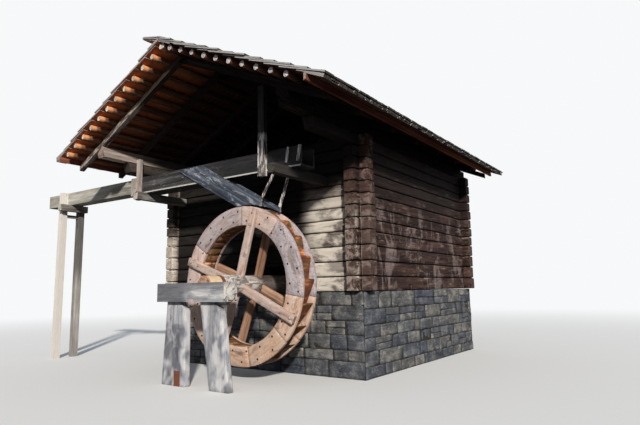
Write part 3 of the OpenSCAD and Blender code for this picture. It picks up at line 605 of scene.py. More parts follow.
# Grain that several woods share
SIDE_LOG = dict(streak=20, knots=0.12, relief=0.008, line=0.014)
POLE = dict(streak=36, crack=0.3, relief=0.003, line=0.01)
LARCH = dict(streak=26, fibre=110, knots=0.12, relief=0.0022, line=0.01)
SILVERED = dict(streak=26, fibre=120, crack=0.15, knots=0.02, relief=0.0025, line=0.008)
# Dark, middle and light tone of each wood, and what sets it apart
WOODS = {
    "front_logs": ((0.062, 0.048, 0.04), (0.155, 0.128, 0.11), (0.285, 0.245, 0.215), dict(
        end=(0.44, 0.37, 0.3), streak=24, relief=0.006, grey=(0.26, 0.235, 0.21), grey_share=0.4, knots=0.12,
        line=0.012, shine=0.03)),
    "left_logs": ((0.085, 0.06, 0.048), (0.2, 0.15, 0.12), (0.34, 0.27, 0.225), dict(
        SIDE_LOG, end=(0.42, 0.32, 0.25), crack=0.7, grey=(0.3, 0.26, 0.23), grey_share=0.4)),
    # Very dark: the walls' own dark red-brown, darkened further as painted shade
    "side_logs": ((0.011, 0.006, 0.005), (0.03, 0.015, 0.012), (0.08, 0.044, 0.035), dict(
        SIDE_LOG, end=(0.13, 0.078, 0.06), crack=0.8, grey=(0.22, 0.165, 0.145), grey_share=0.25)),
    "left_plate": ((0.2, 0.15, 0.125), (0.41, 0.335, 0.29), (0.66, 0.57, 0.51), dict(
        end=(0.42, 0.33, 0.27), axis="y", streak=40, crack=0.15, knots=0.05, relief=0.003, line=0.01)),
    # Near-black, their sawn ends too: painted shade under the roof
    "right_plate": ((0.006, 0.005, 0.004), (0.014, 0.011, 0.009), (0.034, 0.027, 0.023), dict(
        end=(0.016, 0.012, 0.01), axis="y", relief=0.005, shine=0.03)),
    "right_rafter": ((0.007, 0.005, 0.004), (0.016, 0.012, 0.01), (0.04, 0.031, 0.026), dict(
        end=(0.03, 0.024, 0.02), axis="right_slope", shine=0.03)),
    "left_rafter": ((0.06, 0.04, 0.03), (0.15, 0.105, 0.08), (0.27, 0.21, 0.17), dict(axis="left_slope")),
    # Pale sawn ends, brightened to near white as painted sunlight
    "left_batten": ((0.06, 0.026, 0.015), (0.17, 0.078, 0.043), (0.33, 0.175, 0.1), dict(
        POLE, end=(0.94, 0.83, 0.66))),
    "right_batten": ((0.055, 0.02, 0.013), (0.13, 0.05, 0.032), (0.25, 0.11, 0.075), dict(
        POLE, end=(0.84, 0.78, 0.76))),
    "eave_board": ((0.085, 0.026, 0.018), (0.19, 0.062, 0.04), (0.33, 0.13, 0.088), dict(
        axis="y", crack=0.2, relief=0.003)),
    "shingle": ((0.145, 0.135, 0.13), (0.31, 0.295, 0.29), (0.53, 0.51, 0.5), dict(
        end=(0.085, 0.078, 0.074), streak=60, fibre=300, patch=4, crack=0.4, knots=0.02)),
    "wheel": ((0.24, 0.165, 0.135), (0.41, 0.315, 0.27), (0.58, 0.47, 0.415), dict(
        LARCH, end=(0.4, 0.28, 0.2), crack=0.25, grey=(0.455, 0.405, 0.395), grey_share=0.75, patch=3, warmth=True)),
    "back_arm": ((0.12, 0.058, 0.035), (0.29, 0.165, 0.105), (0.5, 0.32, 0.22), dict(LARCH, crack=0.3)),
    "axle": ((0.24, 0.2, 0.17), (0.44, 0.39, 0.355), (0.66, 0.61, 0.565), dict(
        end=(0.62, 0.36, 0.23), knots=0.05, relief=0.003, line=0.012, grey=(0.56, 0.53, 0.51))),
    "bucket": ((0.1, 0.028, 0.012), (0.38, 0.125, 0.046), (0.74, 0.33, 0.14), dict(
        axis="y", streak=40, crack=0.3, knots=0.15, relief=0.003)),
    "sole": ((0.14, 0.052, 0.024), (0.38, 0.165, 0.078), (0.64, 0.33, 0.165), dict(
        streak=40, crack=0.2, knots=0.15, relief=0.003)),
    "silver": ((0.135, 0.135, 0.15), (0.275, 0.275, 0.295), (0.46, 0.46, 0.48), dict(
        SILVERED, end=(0.5, 0.46, 0.41), grey=(0.37, 0.375, 0.4), grey_share=0.6)),
    "silver_x": ((0.115, 0.115, 0.125), (0.255, 0.255, 0.27), (0.45, 0.445, 0.455), dict(
        SILVERED, end=(0.72, 0.68, 0.62), axis="x", crack=0.25, relief=0.003, line=0.01, grey=(0.37, 0.375, 0.4),
        grey_share=0.6)),
    "silver_y": ((0.075, 0.062, 0.052), (0.18, 0.155, 0.135), (0.34, 0.3, 0.265), dict(
        end=(0.6, 0.54, 0.46), axis="y", crack=0.4, knots=0.05, line=0.012, grey=(0.28, 0.27, 0.26))),
    "hanger": ((0.14, 0.11, 0.094), (0.3, 0.245, 0.215), (0.5, 0.43, 0.385), dict(
        axis="z", crack=0.4, knots=0.05, line=0.012, grey=(0.4, 0.365, 0.34), grey_share=0.4)),
    "bent_post": ((0.16, 0.15, 0.14), (0.34, 0.32, 0.295), (0.56, 0.53, 0.49), dict(
        axis="z", crack=0.3, knots=0.05, relief=0.003, line=0.01)),
    "upper_flume": ((0.15, 0.14, 0.115), (0.3, 0.285, 0.245), (0.48, 0.46, 0.415), dict(
        SILVERED, end=(0.46, 0.4, 0.34), axis="x", streak=22)),
    # Near-black tones: the trough's dark wood, darkened further as painted shade
    "main_flume": ((0.014, 0.014, 0.015), (0.048, 0.046, 0.047), (0.14, 0.135, 0.135), dict(
        SILVERED, end=(0.4, 0.36, 0.31), axis="x", crack=0.35, knots=0.03, relief=0.003, line=0.01)),
    "chute": ((0.016, 0.021, 0.031), (0.052, 0.062, 0.083), (0.145, 0.165, 0.205), dict(
        SILVERED, end=(0.34, 0.32, 0.3), axis="chute", streak=30, fibre=170, crack=0.25)),
    "dark_block": ((0.04, 0.03, 0.024), (0.095, 0.072, 0.058), (0.18, 0.14, 0.115), dict(axis="x")),
}
MATERIALS = {name: wood(name, *tones, **more) for name, (*tones, more) in WOODS.items()}
MATERIALS.update(rubble=stone("rubble"), mortar=filling("mortar"), moss=filling("moss"), rust=iron("rust", share=0.9),
                 nail=iron("nail", rust=(0.03, 0.018, 0.014), bare=(0.01, 0.009, 0.01)),
                 bolt=iron("bolt", rust=(0.16, 0.1, 0.08), bare=(0.3, 0.29, 0.28)))

# CAD nodes that stay in view, by material
DRESSES = {
    "mortar": ("front_base", "right_base", "back_base", "left_base"), "left_rafter": ("left_rafters",),
    "right_rafter": ("right_rafters",), "left_plate": ("left_plate",), "right_plate": ("right_plate",),
    "eave_board": ("eave_boards",), "bucket": ("buckets",), "rust": ("axle_band", "leg_strap"),
    "silver_x": ("trestle_beam",), "dark_block": ("inner_bearing",), "upper_flume": ("upper_trough",),
    "main_flume": ("main_trough",), "chute": ("chute",), "bent_post": ("bent_posts",),
    "hanger": ("chute_hangers", "trough_cleats", "left_hanger", "joint_board", "right_hanger"),
    "silver_y": ("joint_bearer", "end_bearer", "bent_bearer", "bent_tie"),
}
for material, nodes in DRESSES.items():
    for node in nodes:
        NODES[node].data.materials.clear()
        NODES[node].data.materials.append(MATERIALS[material])


# Log walls

JOINT_WAVE = 0.004
LOG_CORNER = 0.008
LOG_ROUGH = 0.0018
# Open joint between two logs, and the moss that closes it
LOG_GAP = 0.014
MOSS_T, MOSS_H = 0.07, 0.034
MOSS_IN = 0.02
# How unevenly the logs are cut to length, and over what length the top ones' tips slant
LOG_RAGGED = 0.02
TIP_L = 0.3


def joint_wave(course, along, wall):
    """Small rise and fall of the joint below a course, so that the logs fit each other."""
    if course in (0, COURSES):
        return np.zeros(len(along))
    points = stack(along, np.full(len(along), course * 3.7), np.full(len(along), wall * 9.1))
    return wobble(points, 1.3, 11 + wall, 2) * JOINT_WAVE


def wall_log(pile, wall, course, span, place, tip=0.0, tone=None):
    """One hewn log of a wall: span is where it starts and ends, and tip how far its front end slants."""
    low, high = joint_z(course), joint_z(course + 1)
    height = high - low

    def shape(points):
        along = points[:, 0] + span[0]
        share = points[:, 2] / height + 0.5
        lift = joint_wave(course, along, wall) * (1 - share) + joint_wave(course + 1, along, wall) * share
        slant = tip * (1 - share) * np.clip(1 - points[:, 0] / TIP_L, 0, 1)
        return points + stack(slant, 0 * lift, lift)

    length = span[1] - span[0]
    outline = rectangle(LOG_T, height - LOG_GAP, LOG_CORNER, 4)
    beam(pile, length, outline, lambda p: place(p + (span[0], 0, (low + high) / 2)), step=0.05, edge=0.008,
         rough=LOG_ROUGH, wave=0.16, stretch=0.45, shape=shape, pith=0.03, tone=tone)


def moss(start, end):
    """A strip of moss in a joint, held back from the logs' faces."""
    plank(MOSS, start, end, MOSS_T, MOSS_H, corner=0.003, sides=1, step=0.3)


MOSS = Pile(105)


def cross_wall(name, wall, node, material, has_port):
    """A front or back wall, whose logs run along X."""
    lo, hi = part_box(node)
    middle = (lo.y + hi.y) / 2
    pile = Pile(100 + wall)
    place = lambda p: p + (0, middle, 0)
    for course in range(COURSES):
        start = lo.x + pile.rng.uniform(0, LOG_RAGGED)
        end = hi.x - pile.rng.uniform(0, LOG_RAGGED)
        spans = [(start, PORT_X[0]), (PORT_X[1], end)] if has_port and course < PORT_COURSES else [(start, end)]
        tone = pile.rng.uniform(0.2, 0.9)
        for span in spans:
            wall_log(pile, wall, course, span, place, tone=tone)
        joint_spans = spans if course + 1 < PORT_COURSES or not has_port else [(start, end)]
        for a, b in joint_spans if course + 1 < COURSES else ():
            moss((a + MOSS_IN, middle, joint_z(course + 1)), (b - MOSS_IN, middle, joint_z(course + 1)))
    pile.piece(name, material, "mill", "wall_log", node)


def side_wall(name, wall, node, material):
    """A side wall, whose logs run along Y. The top log reaches out in front."""
    lo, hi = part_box(node)
    middle = (lo.x + hi.x) / 2
    log_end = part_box("front_wall")[1].x - RIGHT_FACE
    pile = Pile(200 + wall)
    place = lambda p: stack(middle - p[:, 1], p[:, 0], p[:, 2])
    for course in range(COURSES):
        top = course == COURSES - 1
        start = lo.y if top else -log_end + pile.rng.uniform(0, LOG_RAGGED)
        end = hi.y - pile.rng.uniform(0, LOG_RAGGED)
        wall_log(pile, wall, course, (start, end), place, TIP_CUT if top else 0)
        if not top:
            moss((middle, start + MOSS_IN, joint_z(course + 1)), (middle, end - MOSS_IN, joint_z(course + 1)))
    pile.piece(name, material, "mill", "wall_log", node)


cross_wall("front_wall_logs", 0, "front_wall", "front_logs", True)
cross_wall("back_wall_logs", 1, "back_wall", "side_logs", False)
side_wall("left_wall_logs", 2, "left_wall", "left_logs")
side_wall("right_wall_logs", 3, "right_wall", "side_logs")
MOSS.piece("joint_moss", "moss", "mill", "wall_log")

# Rubble base

STONE_SIDES = 6
STONE_GAP = 0.002
STONE_DEEP = (0.13, 0.2)
# How long a stone is for its height
STONE_LONG = (1.1, 3.6)
# Share of the stones that are laid as two thin ones, and the height from which they are
TWIN_SHARE, TWIN_H = 0.3, 0.14
# How square, askew and rough a stone is, how far its face stands back, and the shortest rest of a course
STONE_SQUARE, STONE_SKEW, STONE_ROUGH, STONE_BACK, STONE_REST = (14, 30), 0.018, 0.005, (0.002, 0.014), 0.1
COURSE_UNEVEN = (0.75, 1.3)


def stone_ball():
    """Points and faces of a cube whose faces are grids, for stones to be shaped from."""
    grid = np.linspace(-1, 1, STONE_SIDES + 1)
    corners = []
    for axis in range(3):
        for sign in (-1, 1):
            for i, j in np.ndindex(STONE_SIDES, STONE_SIDES):
                ring = [np.roll((sign, grid[i + a], grid[j + b]), axis) for a, b in ((0, 0), (1, 0), (1, 1), (0, 1))]
                corners += ring[::sign]
    corners = np.array(corners)
    _, first, index = np.unique(np.round(corners, 4), axis=0, return_index=True, return_inverse=True)
    return corners[first], index.reshape(-1, 4).tolist()


BALL_POINTS, BALL_FACES = stone_ball()


def rubble_stone(pile, place, x, z, deep):
    """One rough block that fills the span x by z of a wall's face, deep at most into the wall."""
    power = pile.rng.uniform(*STONE_SQUARE)
    p = BALL_POINTS / (np.abs(BALL_POINTS) ** power).sum(1)[:, None] ** (1 / power)
    size = np.array([(x[1] - x[0]) / 2, deep / 2, (z[1] - z[0]) / 2])
    lean = pile.rng.normal(0, STONE_SKEW, 2)
    p = p * size
    p[:, 0] += p[:, 2] * lean[0]
    p[:, 2] += p[:, 0] * lean[1]
    seed = int(pile.rng.integers(1 << 30))
    p += p / np.linalg.norm(p, axis=1)[:, None] * (wobble(p, 0.2, seed) * STONE_ROUGH)[:, None]
    middle = np.array([(x[0] + x[1]) / 2, deep / 2 - pile.rng.uniform(*STONE_BACK), (z[0] + z[1]) / 2])
    pile.add(place(p + middle), BALL_FACES, grain=p)


def rubble(pile, place, length, height, courses):
    """Uneven courses of stones over a wall's face."""
    heights = pile.rng.uniform(*COURSE_UNEVEN, courses)
    levels = np.concatenate([[0], np.cumsum(heights / heights.sum() * height)])
    for low, high in zip(levels[:-1], levels[1:]):
        x = 0.0
        while x < length:
            width = pile.rng.uniform(*STONE_LONG) * (high - low)
            end = length if length - x - width < STONE_REST else x + width
            twins = pile.rng.uniform() < TWIN_SHARE and high - low > TWIN_H
            for z0, z1 in [(low, (low + high) / 2), ((low + high) / 2, high)] if twins else [(low, high)]:
                rubble_stone(pile, place, (x + STONE_GAP, end - STONE_GAP), (z0 + STONE_GAP, z1 - STONE_GAP),
                             pile.rng.uniform(*STONE_DEEP))
            x = end


def base():
    """Stones over the outer faces of the base, whose masonry stays behind them."""
    lo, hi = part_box("front_base")
    back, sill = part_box("back_base")[1].y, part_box("inner_bearing")[0].z
    wide, deep, high = hi.x - lo.x, back - lo.y, hi.z - sill
    before, after = PORT_X[0] - lo.x, PORT_X[1] - lo.x
    front = lambda p: p + (lo.x, lo.y, 0)
    # Each face's stretches of rubble: where they go, how long and high they are, and their courses
    faces = {"front": ((front, wide, sill, 5), (lambda p: front(p + (0, 0, sill)), before, high, 1),
                       (lambda p: front(p + (after, 0, sill)), wide - after, high, 1)),
             "right": ((lambda p: stack(hi.x - p[:, 1], lo.y + p[:, 0], p[:, 2]), deep, hi.z, 6),),
             "back": ((lambda p: stack(hi.x - p[:, 0], back - p[:, 1], p[:, 2]), wide, hi.z, 6),),
             "left": ((lambda p: stack(lo.x + p[:, 1], back - p[:, 0], p[:, 2]), deep, hi.z, 6),)}
    for number, (side, stretches) in enumerate(faces.items()):
        pile = Pile(31 + number)
        for stretch in stretches:
            rubble(pile, *stretch)
        pile.piece(side + "_stones", "rubble", "mill", "rubble_stone")


base()

# Roof

COS_P, SIN_P, TAN_P = math.cos(ROOF_PITCH), math.sin(ROOF_PITCH), math.tan(ROOF_PITCH)
COS_L, SIN_L = math.cos(ROOF_LEAN), math.sin(ROOF_LEAN)
VERGE, BACK_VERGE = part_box("right_shingles")[0].y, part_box("right_shingles")[1].y
BUTT_T, HEAD_T = 0.0175, 0.01
# A shingle's width, how askew its ends and sides are, and how rough, raised and curled it is
SHINGLE_W, SHINGLE_SKEW, SHINGLE_ROUGH, SHINGLE_LIFT, SHINGLE_CURL = (0.07, 0.17), 0.004, 0.0008, 0.002, (-0.001, 0.002)
# Half of the gap between two, how far they stop short of the verge, and the narrowest rest
SHINGLE_GAP, VERGE_RAGGED, SHINGLE_REST = 0.0015, 0.022, 0.05
BUTT_RAGGED = (-0.016, 0.003)
# How many courses a shingle reaches up under the ones above it, and how far it stays from the ridge
SHINGLE_REACH, RIDGE_FREE = 2.6, 0.012
# How many courses the starter layers at the eave reach up, how thick they are, how far the second is raised at its
# butts, and how much less of that a course further up
STARTER_REACH, STARTER_T, STARTER_LIFT, STARTER_TILT = (1.1, 1.6), 0.016, 0.018, 0.008
# Layers over the ridge, how many courses down the first starts, and how much less each next one
LIP_LAYERS, LIP_START, LIP_STEP = 3, 0.92, 0.2
# How a pole is bent, tapered and thinner than the thickest, and how unevenly it starts
POLE_BEND, POLE_TAPER, POLE_THIN, POLE_RAGGED = 0.006, 0.93, 0.9, 0.004


def on_slope(side, down, across, up):
    """World points of a slope: down from the ridge, across along Y, up over the covering's underside."""
    x = side * (down * COS_P + up * SIN_P)
    z = up * COS_P - down * SIN_P - SHINGLE_BUTT / COS_P
    return stack(x * COS_L - z * SIN_L, across, RIDGE_H + x * SIN_L + z * COS_L)


def shingle(pile, side, butt, head, y0, y1, low, thick, curl):
    """One split shingle from its butt up to its head. low and thick give its underside and thickness."""
    rows, columns = 5, 3
    t = np.repeat(np.linspace(0, 1, rows), columns)
    w = np.tile(np.linspace(0, 1, columns), rows)
    skew = pile.rng.normal(0, SHINGLE_SKEW, 2)
    down = butt + (head - butt) * t + (w - 0.5) * skew[0]
    across = y0 + (y1 - y0) * w + (t - 0.5) * skew[1]
    under = low(down) + curl * (2 * w - 1) ** 2 * (1 - t)
    over = under + thick(down) + pile.rng.normal(0, SHINGLE_ROUGH, len(t))
    # Rings that run along the underside and back over the top
    sheets = [stack(down, across, up).reshape(rows, columns, 3) for up in (under, over)]
    local = np.concatenate([sheets[0], sheets[1][:, ::-1]], 1).reshape(-1, 3)
    n = 2 * columns
    faces = tube(rows, n)
    butt_faces = [[c + 1, c, n - 1 - c, n - 2 - c] for c in range(columns - 1)]
    ends = range(len(faces), len(faces) + len(butt_faces))
    faces += butt_faces + [[(rows - 1) * n + i for i in quad[::-1]] for quad in butt_faces]
    if side < 0:
        faces = [face[::-1] for face in faces]
    pile.add(on_slope(side, *local.T), faces, ends, local, flat=True)


def course(pile, side, butt, head, low, thick):
    """A row of shingles from verge to verge, ragged at both."""
    y = VERGE
    while y < BACK_VERGE:
        end = min(y + pile.rng.uniform(*SHINGLE_W), BACK_VERGE)
        if BACK_VERGE - end < SHINGLE_REST:
            end = BACK_VERGE
        start = y + (pile.rng.uniform(0, VERGE_RAGGED) if y == VERGE else SHINGLE_GAP)
        stop = end - (pile.rng.uniform(0, VERGE_RAGGED) if end == BACK_VERGE else SHINGLE_GAP)
        lift = pile.rng.uniform(0, SHINGLE_LIFT)
        shingle(pile, side, butt + pile.rng.uniform(*BUTT_RAGGED), head, start, stop,
                lambda down: low(down) + lift, thick, pile.rng.uniform(*SHINGLE_CURL))
        y = end


def covering(name, side, node, seed):
    """The courses of one slope, from the eave up, and on the right the last ones over the ridge."""
    pile = Pile(seed)
    slope_l = EAVE_OUT[side] / COS_P
    course_l = slope_l / COURSES_OF_SHINGLES
    for layer, reach in enumerate(STARTER_REACH):
        course(pile, side, slope_l, slope_l - reach * course_l,
               lambda down: layer * (STARTER_LIFT + (down - slope_l) / course_l * STARTER_TILT),
               lambda down: STARTER_T)
    for number in range(COURSES_OF_SHINGLES):
        butt = slope_l - number * course_l
        reach = SHINGLE_REACH * course_l
        course(pile, side, butt, max(butt - reach, RIDGE_FREE),
               lambda down: 0.002 + (SHINGLE_BUTT - BUTT_T - 0.004) * (1 - (butt - down) / reach),
               lambda down: BUTT_T + (HEAD_T - BUTT_T) * (butt - down) / reach)
    if side > 0:
        under = lambda down: -LIP_DROOP * np.clip((-LIP_BEND - down) / (RIDGE_LIP - LIP_BEND), 0, 1)
        over = lambda down: SHINGLE_BUTT + (LIP_T - LIP_DROOP - SHINGLE_BUTT) * np.clip(-down / RIDGE_LIP, 0, 1)
        for layer in range(LIP_LAYERS):
            share = lambda down: (over(down) - under(down)) / LIP_LAYERS
            course(pile, side, (LIP_START - layer * LIP_STEP) * course_l, -RIDGE_LIP + layer * 0.014,
                   lambda down: under(down) + layer * share(down), lambda down: share(down) - 0.004)
    pile.piece(name, "shingle", "mill", "shingle", node)


covering("left_shingle_courses", -1, "left_shingles", 41)
covering("right_shingle_courses", 1, "right_shingles", 42)


def poles(name, side, node, seed, material):
    """Barked poles under the shingles, a little bent, their ends sawn inside the verges."""
    pile = Pile(seed)
    count, first, last = BATTENS[side]
    front, back = VERGE + BATTEN_IN, BACK_VERGE - BATTEN_IN
    for spot in [RIDGE_BATTEN, *np.linspace(first, last, count)]:
        down = spot + BATTEN_H * TAN_P
        bend = pile.rng.uniform(-POLE_BEND, POLE_BEND)
        taper = pile.rng.uniform(POLE_TAPER, 1.0)
        radius = BATTEN_R * pile.rng.uniform(POLE_THIN, 1.0)
        start = front + pile.rng.uniform(0.0, POLE_RAGGED)
        length = back - start

        def place(p):
            share = p[:, 0] / length
            across = p[:, 1] * (1 - (1 - taper) * share) + bend * np.sin(share * math.pi * 2)
            return on_slope(side, down + across, start + p[:, 0], p[:, 2] - BATTEN_H / 2)

        beam(pile, length, round_section(radius, BATTEN_H), place, step=0.12, edge=0.003, rough=0.002, wave=0.2,
             pith=0.004)
    pile.piece(name, material, "mill", "batten_pole", node)


poles("left_poles", -1, "left_battens", 43, "left_batten")
poles("right_poles", 1, "right_battens", 44, "right_batten")

# Wheel

# Half of the gap between two felloes, and that between two staves in degrees
FELLOE_GAP, STAVE_GAP = 0.0015, 0.08
# Over what length the axle widens behind its journal, and how much thinner it is than its solid
AXLE_STEP, AXLE_SHARE = 0.002, 0.996


def polar(radius, degrees, y):
    """World point on the wheel."""
    a = math.radians(degrees)
    return np.array([AXIS.x + radius * math.cos(a), y, AXIS.z + radius * math.sin(a)])


def arc_board(pile, a0, a1, r0, r1, y0, y1, corner=0.003, rough=0.0012, along_arc=True, sides=3, step=0.04,
              **more):
    """A felloe or stave: the ring between two angles and two radii. Its grain runs along its chord, or along Y."""
    middle = math.radians((a0 + a1) / 2)
    mean = (r0 + r1) / 2
    arc = math.radians(a1 - a0)

    def place(p):
        angle = math.radians(a0) + p[:, 0] / mean
        radius = mean + p[:, 2]
        return stack(AXIS.x + radius * np.cos(angle), (y0 + y1) / 2 + p[:, 1], AXIS.z + radius * np.sin(angle))

    def grain(p):
        angle = math.radians(a0) + p[:, 0] / mean - middle
        radius = mean + p[:, 2]
        chord = stack(radius * np.sin(angle), p[:, 1], radius * np.cos(angle) - mean)
        return chord if along_arc else stack(p[:, 1], p[:, 0], p[:, 2])

    beam(pile, arc * mean, rectangle(y1 - y0, r1 - r0, corner, sides), place, step=step, edge=0.003, rough=rough,
         wave=0.2, grain=grain, **more)


def shroud(name, node, seed):
    """A ring of sawn felloes."""
    lo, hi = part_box(node)
    pile = Pile(seed)
    gap = math.degrees(FELLOE_GAP / WHEEL_R)
    ends = [start for start, *_ in FELLOES[1:]] + [FELLOES[0][0] + 360]
    for (start, tone, warm), end in zip(FELLOES, ends):
        arc_board(pile, start + gap, end - gap, INNER_R, WHEEL_R, lo.y, hi.y, tone=tone, warm=warm)
    pile.piece(name, "wheel", "wheel", "wheel_larch", node)


shroud("front_felloes", "front_shroud", 51)
shroud("back_felloes", "back_shroud", 52)


def sole():
    """Staves round the drum, between the shrouds."""
    lo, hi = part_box("sole")
    pile = Pile(53)
    staves = 2 * BUCKETS
    for number in range(staves):
        a0 = number * 360 / staves
        arc_board(pile, a0 + STAVE_GAP, a0 + 360 / staves - STAVE_GAP, INNER_R, INNER_R + SOLE_T, lo.y, hi.y,
                  corner=0.002, along_arc=False, sides=1, step=0.06)
    pile.piece("sole_staves", "sole", "wheel", "bucket_board", "sole")


sole()


def arms(name, node, seed, material):
    """Arms from the axle's mortises to the rim."""
    lo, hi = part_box(node)
    pile = Pile(seed)
    y = (lo.y + hi.y) / 2
    for angle in ARM_ANGLES:
        plank(pile, polar(ARM_ROOT, angle, y), polar(WHEEL_R - ARM_INSET, angle, y), ARM_W, hi.y - lo.y,
              up=(0, 1, 0), corner=0.004, sides=3, rough=0.0018, step=0.06, edge=0.004, tone=0.6, warm=0.62)
    pile.piece(name, material, "wheel", "wheel_larch", node)


arms("front_arm_beams", "front_arms", 54, "wheel")
arms("back_arm_beams", "back_arms", 55, "back_arm")


def axle():
    """The log axle, thinner at its front, with an uneven surface and a sawn end."""
    lo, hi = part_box("axle")
    radius = (hi.z - lo.z) / 2
    pile = Pile(56)
    length, place = between((AXIS.x, lo.y, AXIS.z), (AXIS.x, hi.y, AXIS.z))

    def turned(p):
        share = np.clip((p[:, 0] - JOURNAL_L + AXLE_STEP) / AXLE_STEP, 0, 1)
        size = (JOURNAL_R + (radius - JOURNAL_R) * share) / radius * AXLE_SHARE
        return p * stack(np.ones(len(p)), size, size)

    beam(pile, length, round_section(radius, sides=40), place, step=0.05, edge=0.006, rough=0.0004, wave=0.3,
         shape=turned, pith=0.012, tone=0.7)
    pile.piece("axle_log", "axle", "wheel", "wheel_larch", "axle")


axle()


def studs(name, material, seed, spots, radius, height, sides):
    """Nail or bolt heads on the wheel: each spot is a centre and the way that the head faces."""
    pile = Pile(seed)
    for centre, facing in spots:
        centre, facing = np.array(centre, float), np.array(facing, float)
        turn = pile.rng.uniform(0, math.pi)
        side = np.cross(facing, (0, 0, 1) if abs(facing[2]) < 0.9 else (1, 0, 0))
        side /= np.linalg.norm(side)
        other = np.cross(facing, side)
        angles = turn + np.arange(sides) * 2 * math.pi / sides
        ring = lambda r, h: centre + facing * h + (np.outer(np.cos(angles), side) + np.outer(np.sin(angles), other)) * r
        points = np.concatenate([ring(radius, -height), ring(radius, height * 0.6), ring(radius * 0.7, height)])
        faces = tube(3, sides) + [list(range(2 * sides, 3 * sides)), list(range(sides))[::-1]]
        pile.add(points, faces, flat=sides == BOLT_SIDES)
    pile.piece(name, material, "wheel", "iron")


NAIL_R, NAIL_H, NAIL_SIDES = 0.013, 0.0025, 8
BOLT_R, BOLT_H, BOLT_SIDES = 0.018, 0.01, 4
# Radii at which they sit, the nails also with how far they are turned from the bucket's root
NAILS = ((0.78, 0.3), (0.9, 10.8))
BOLTS = (0.745, 0.892)
FORWARDS, BACKWARDS = (0, -1, 0), (0, 1, 0)


def wheel_iron():
    """Two nails for each bucket board through either shroud, and two bolts for each arm."""
    front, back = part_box("front_shroud")[0].y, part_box("back_shroud")[1].y
    nails = [(polar(radius, number * 360 / BUCKETS + lag, y), facing) for number in range(BUCKETS)
             for y, facing in ((front, FORWARDS), (back, BACKWARDS)) for radius, lag in NAILS]
    arm_front, arm_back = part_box("front_arms")[0].y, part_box("back_arms")[1].y
    bolts = [(polar(radius, angle, y), facing) for angle in ARM_ANGLES for radius in BOLTS
             for y, facing in ((arm_front, FORWARDS), (arm_back, BACKWARDS))]
    studs("wheel_nails", "nail", 57, nails, NAIL_R, NAIL_H, NAIL_SIDES)
    studs("wheel_bolts", "bolt", 58, bolts, BOLT_R, BOLT_H, BOLT_SIDES)


wheel_iron()

# Trestle


def leg(name, node, seed):
    """A split plank leg with a cut shoulder, worn round at its edges."""
    pile = Pile(seed)
    lo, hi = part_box(node)
    points = [v.co for v in NODES[node].data.vertices]
    edges = lambda z: [p.x for p in points if abs(p.z - z) < 0.001]
    foot, top = np.round(edges(lo.z), 4), np.round(edges(hi.z), 4)
    shoulder = max(p.z for p in points if lo.z + 0.01 < p.z < hi.z - 0.001)
    width, height = max(foot) - min(foot), hi.z - lo.z

    def shape(p):
        left = np.interp(p[:, 0], (0, height), (min(foot), min(top)))
        right = np.interp(p[:, 0], (0, shoulder - lo.z, height), (max(foot), max(edges(shoulder)), max(top)))
        return stack(p[:, 0], left + (right - left) * (p[:, 1] / width + 0.5), p[:, 2])

    place = lambda p: stack(p[:, 1], (lo.y + hi.y) / 2 + p[:, 2], lo.z + p[:, 0])
    beam(pile, height, rectangle(width, hi.y - lo.y, 0.006, 6), place, step=0.0275, edge=0.004, rough=0.003,
         wave=0.11, stretch=0.25, shape=shape, pith=0.01)
    pile.piece(name, "silver", "mill", "grey_timber", node)


leg("left_leg_plank", "left_leg", 61)
leg("right_leg_plank", "right_leg", 62)

# Stage, light and camera

FLOOR_HALF = 40
FADE_START, FADE_END = 7, 22
PALE = (0.8, 0.8, 0.79)
# What the floor throws up under the roof, less than what the camera sees of it
FLOOR_BOUNCE = (0.15, 0.145, 0.14)
BACKDROP = (0.93, 0.94, 0.95, 1)
SKY, SKY_STRENGTH = (0.8, 0.88, 1.0, 1), 0.4
SUN, SUN_STRENGTH = (1.0, 0.95, 0.88), 4.3
SUN_HEIGHT, SUN_SIDE, SUN_SIZE = math.radians(24), math.radians(45), math.radians(3)


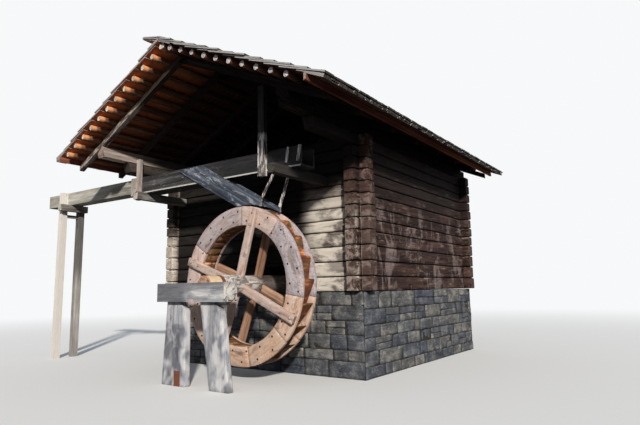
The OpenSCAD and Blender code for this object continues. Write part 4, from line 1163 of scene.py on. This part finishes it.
def floor():
    """A pale floor that fades into the backdrop."""
    mesh = bpy.data.meshes.new("floor")
    corners = [(x * FLOOR_HALF, y * FLOOR_HALF, 0) for x, y in ((-1, -1), (1, -1), (1, 1), (-1, 1))]
    mesh.from_pydata(corners, [], [(0, 1, 2, 3)])
    s = Shader(bpy.data.materials.new("floor"))
    seen = s.node("LightPath").outputs["Is Camera Ray"]
    diffuse = s.node("BsdfDiffuse", {"Color": s.mix(seen, FLOOR_BOUNCE, PALE)})
    glow = s.node("Emission", {"Color": BACKDROP, "Strength": 1.0})
    far = s.node("VectorMath", {0: s.coords()}, operation="LENGTH").outputs["Value"]
    fade = s.times(s.step(far, FADE_START, FADE_END), seen)
    mixed = s.node("MixShader", {0: fade, 1: diffuse.outputs[0], 2: glow.outputs[0]})
    s.node("OutputMaterial", {"Surface": mixed.outputs[0]})
    mesh.materials.append(s.owner)
    show("floor", mesh)


def world():
    """Soft sky light, with a pale backdrop for the camera and for gloss."""
    bpy.context.scene.world = bpy.data.worlds.new("sky")
    s = Shader(bpy.context.scene.world)
    rays = s.node("LightPath").outputs
    gloss = s.math("MAXIMUM", rays["Is Glossy Ray"], rays["Is Transmission Ray"])
    sky = s.node("Background", {"Color": SKY, "Strength": SKY_STRENGTH})
    backdrop = s.node("Background", {"Color": BACKDROP, "Strength": 1.0})
    mixed = s.node("MixShader", {0: s.math("MAXIMUM", rays["Is Camera Ray"], gloss), 1: sky.outputs[0],
                                 2: backdrop.outputs[0]})
    s.node("OutputWorld", {"Surface": mixed.outputs[0]})


def sun():
    """One soft sun, low on the right."""
    lamp = bpy.data.lights.new("sun", "SUN")
    lamp.energy, lamp.angle, lamp.color = SUN_STRENGTH, SUN_SIZE, SUN
    obj = show("sun", lamp)
    level = math.cos(SUN_HEIGHT)
    towards = Vector((math.sin(SUN_SIDE) * level, -math.cos(SUN_SIDE) * level, math.sin(SUN_HEIGHT)))
    obj.rotation_mode = "QUATERNION"
    obj.rotation_quaternion = towards.to_track_quat("Z", "Y")


def camera():
    """The camera that took the photograph."""
    data = bpy.data.cameras.new("camera")
    data.sensor_width = SENSOR_MM
    data.lens = FOCAL_PX * SENSOR_MM / IMAGE_W
    data.clip_start, data.clip_end = 0.05, 200
    obj = show("camera", data)
    place = Matrix.Translation(CAMERA_PLACE)
    for angle, axis in ((HEADING, "Z"), (math.pi / 2 + PITCH, "X"), (ROLL, "Z")):
        place = place @ Matrix.Rotation(angle, 4, axis)
    obj.matrix_world = place
    bpy.context.scene.camera = obj


floor()
world()
sun()
camera()
bpy.context.scene.view_settings.view_transform = "Standard"
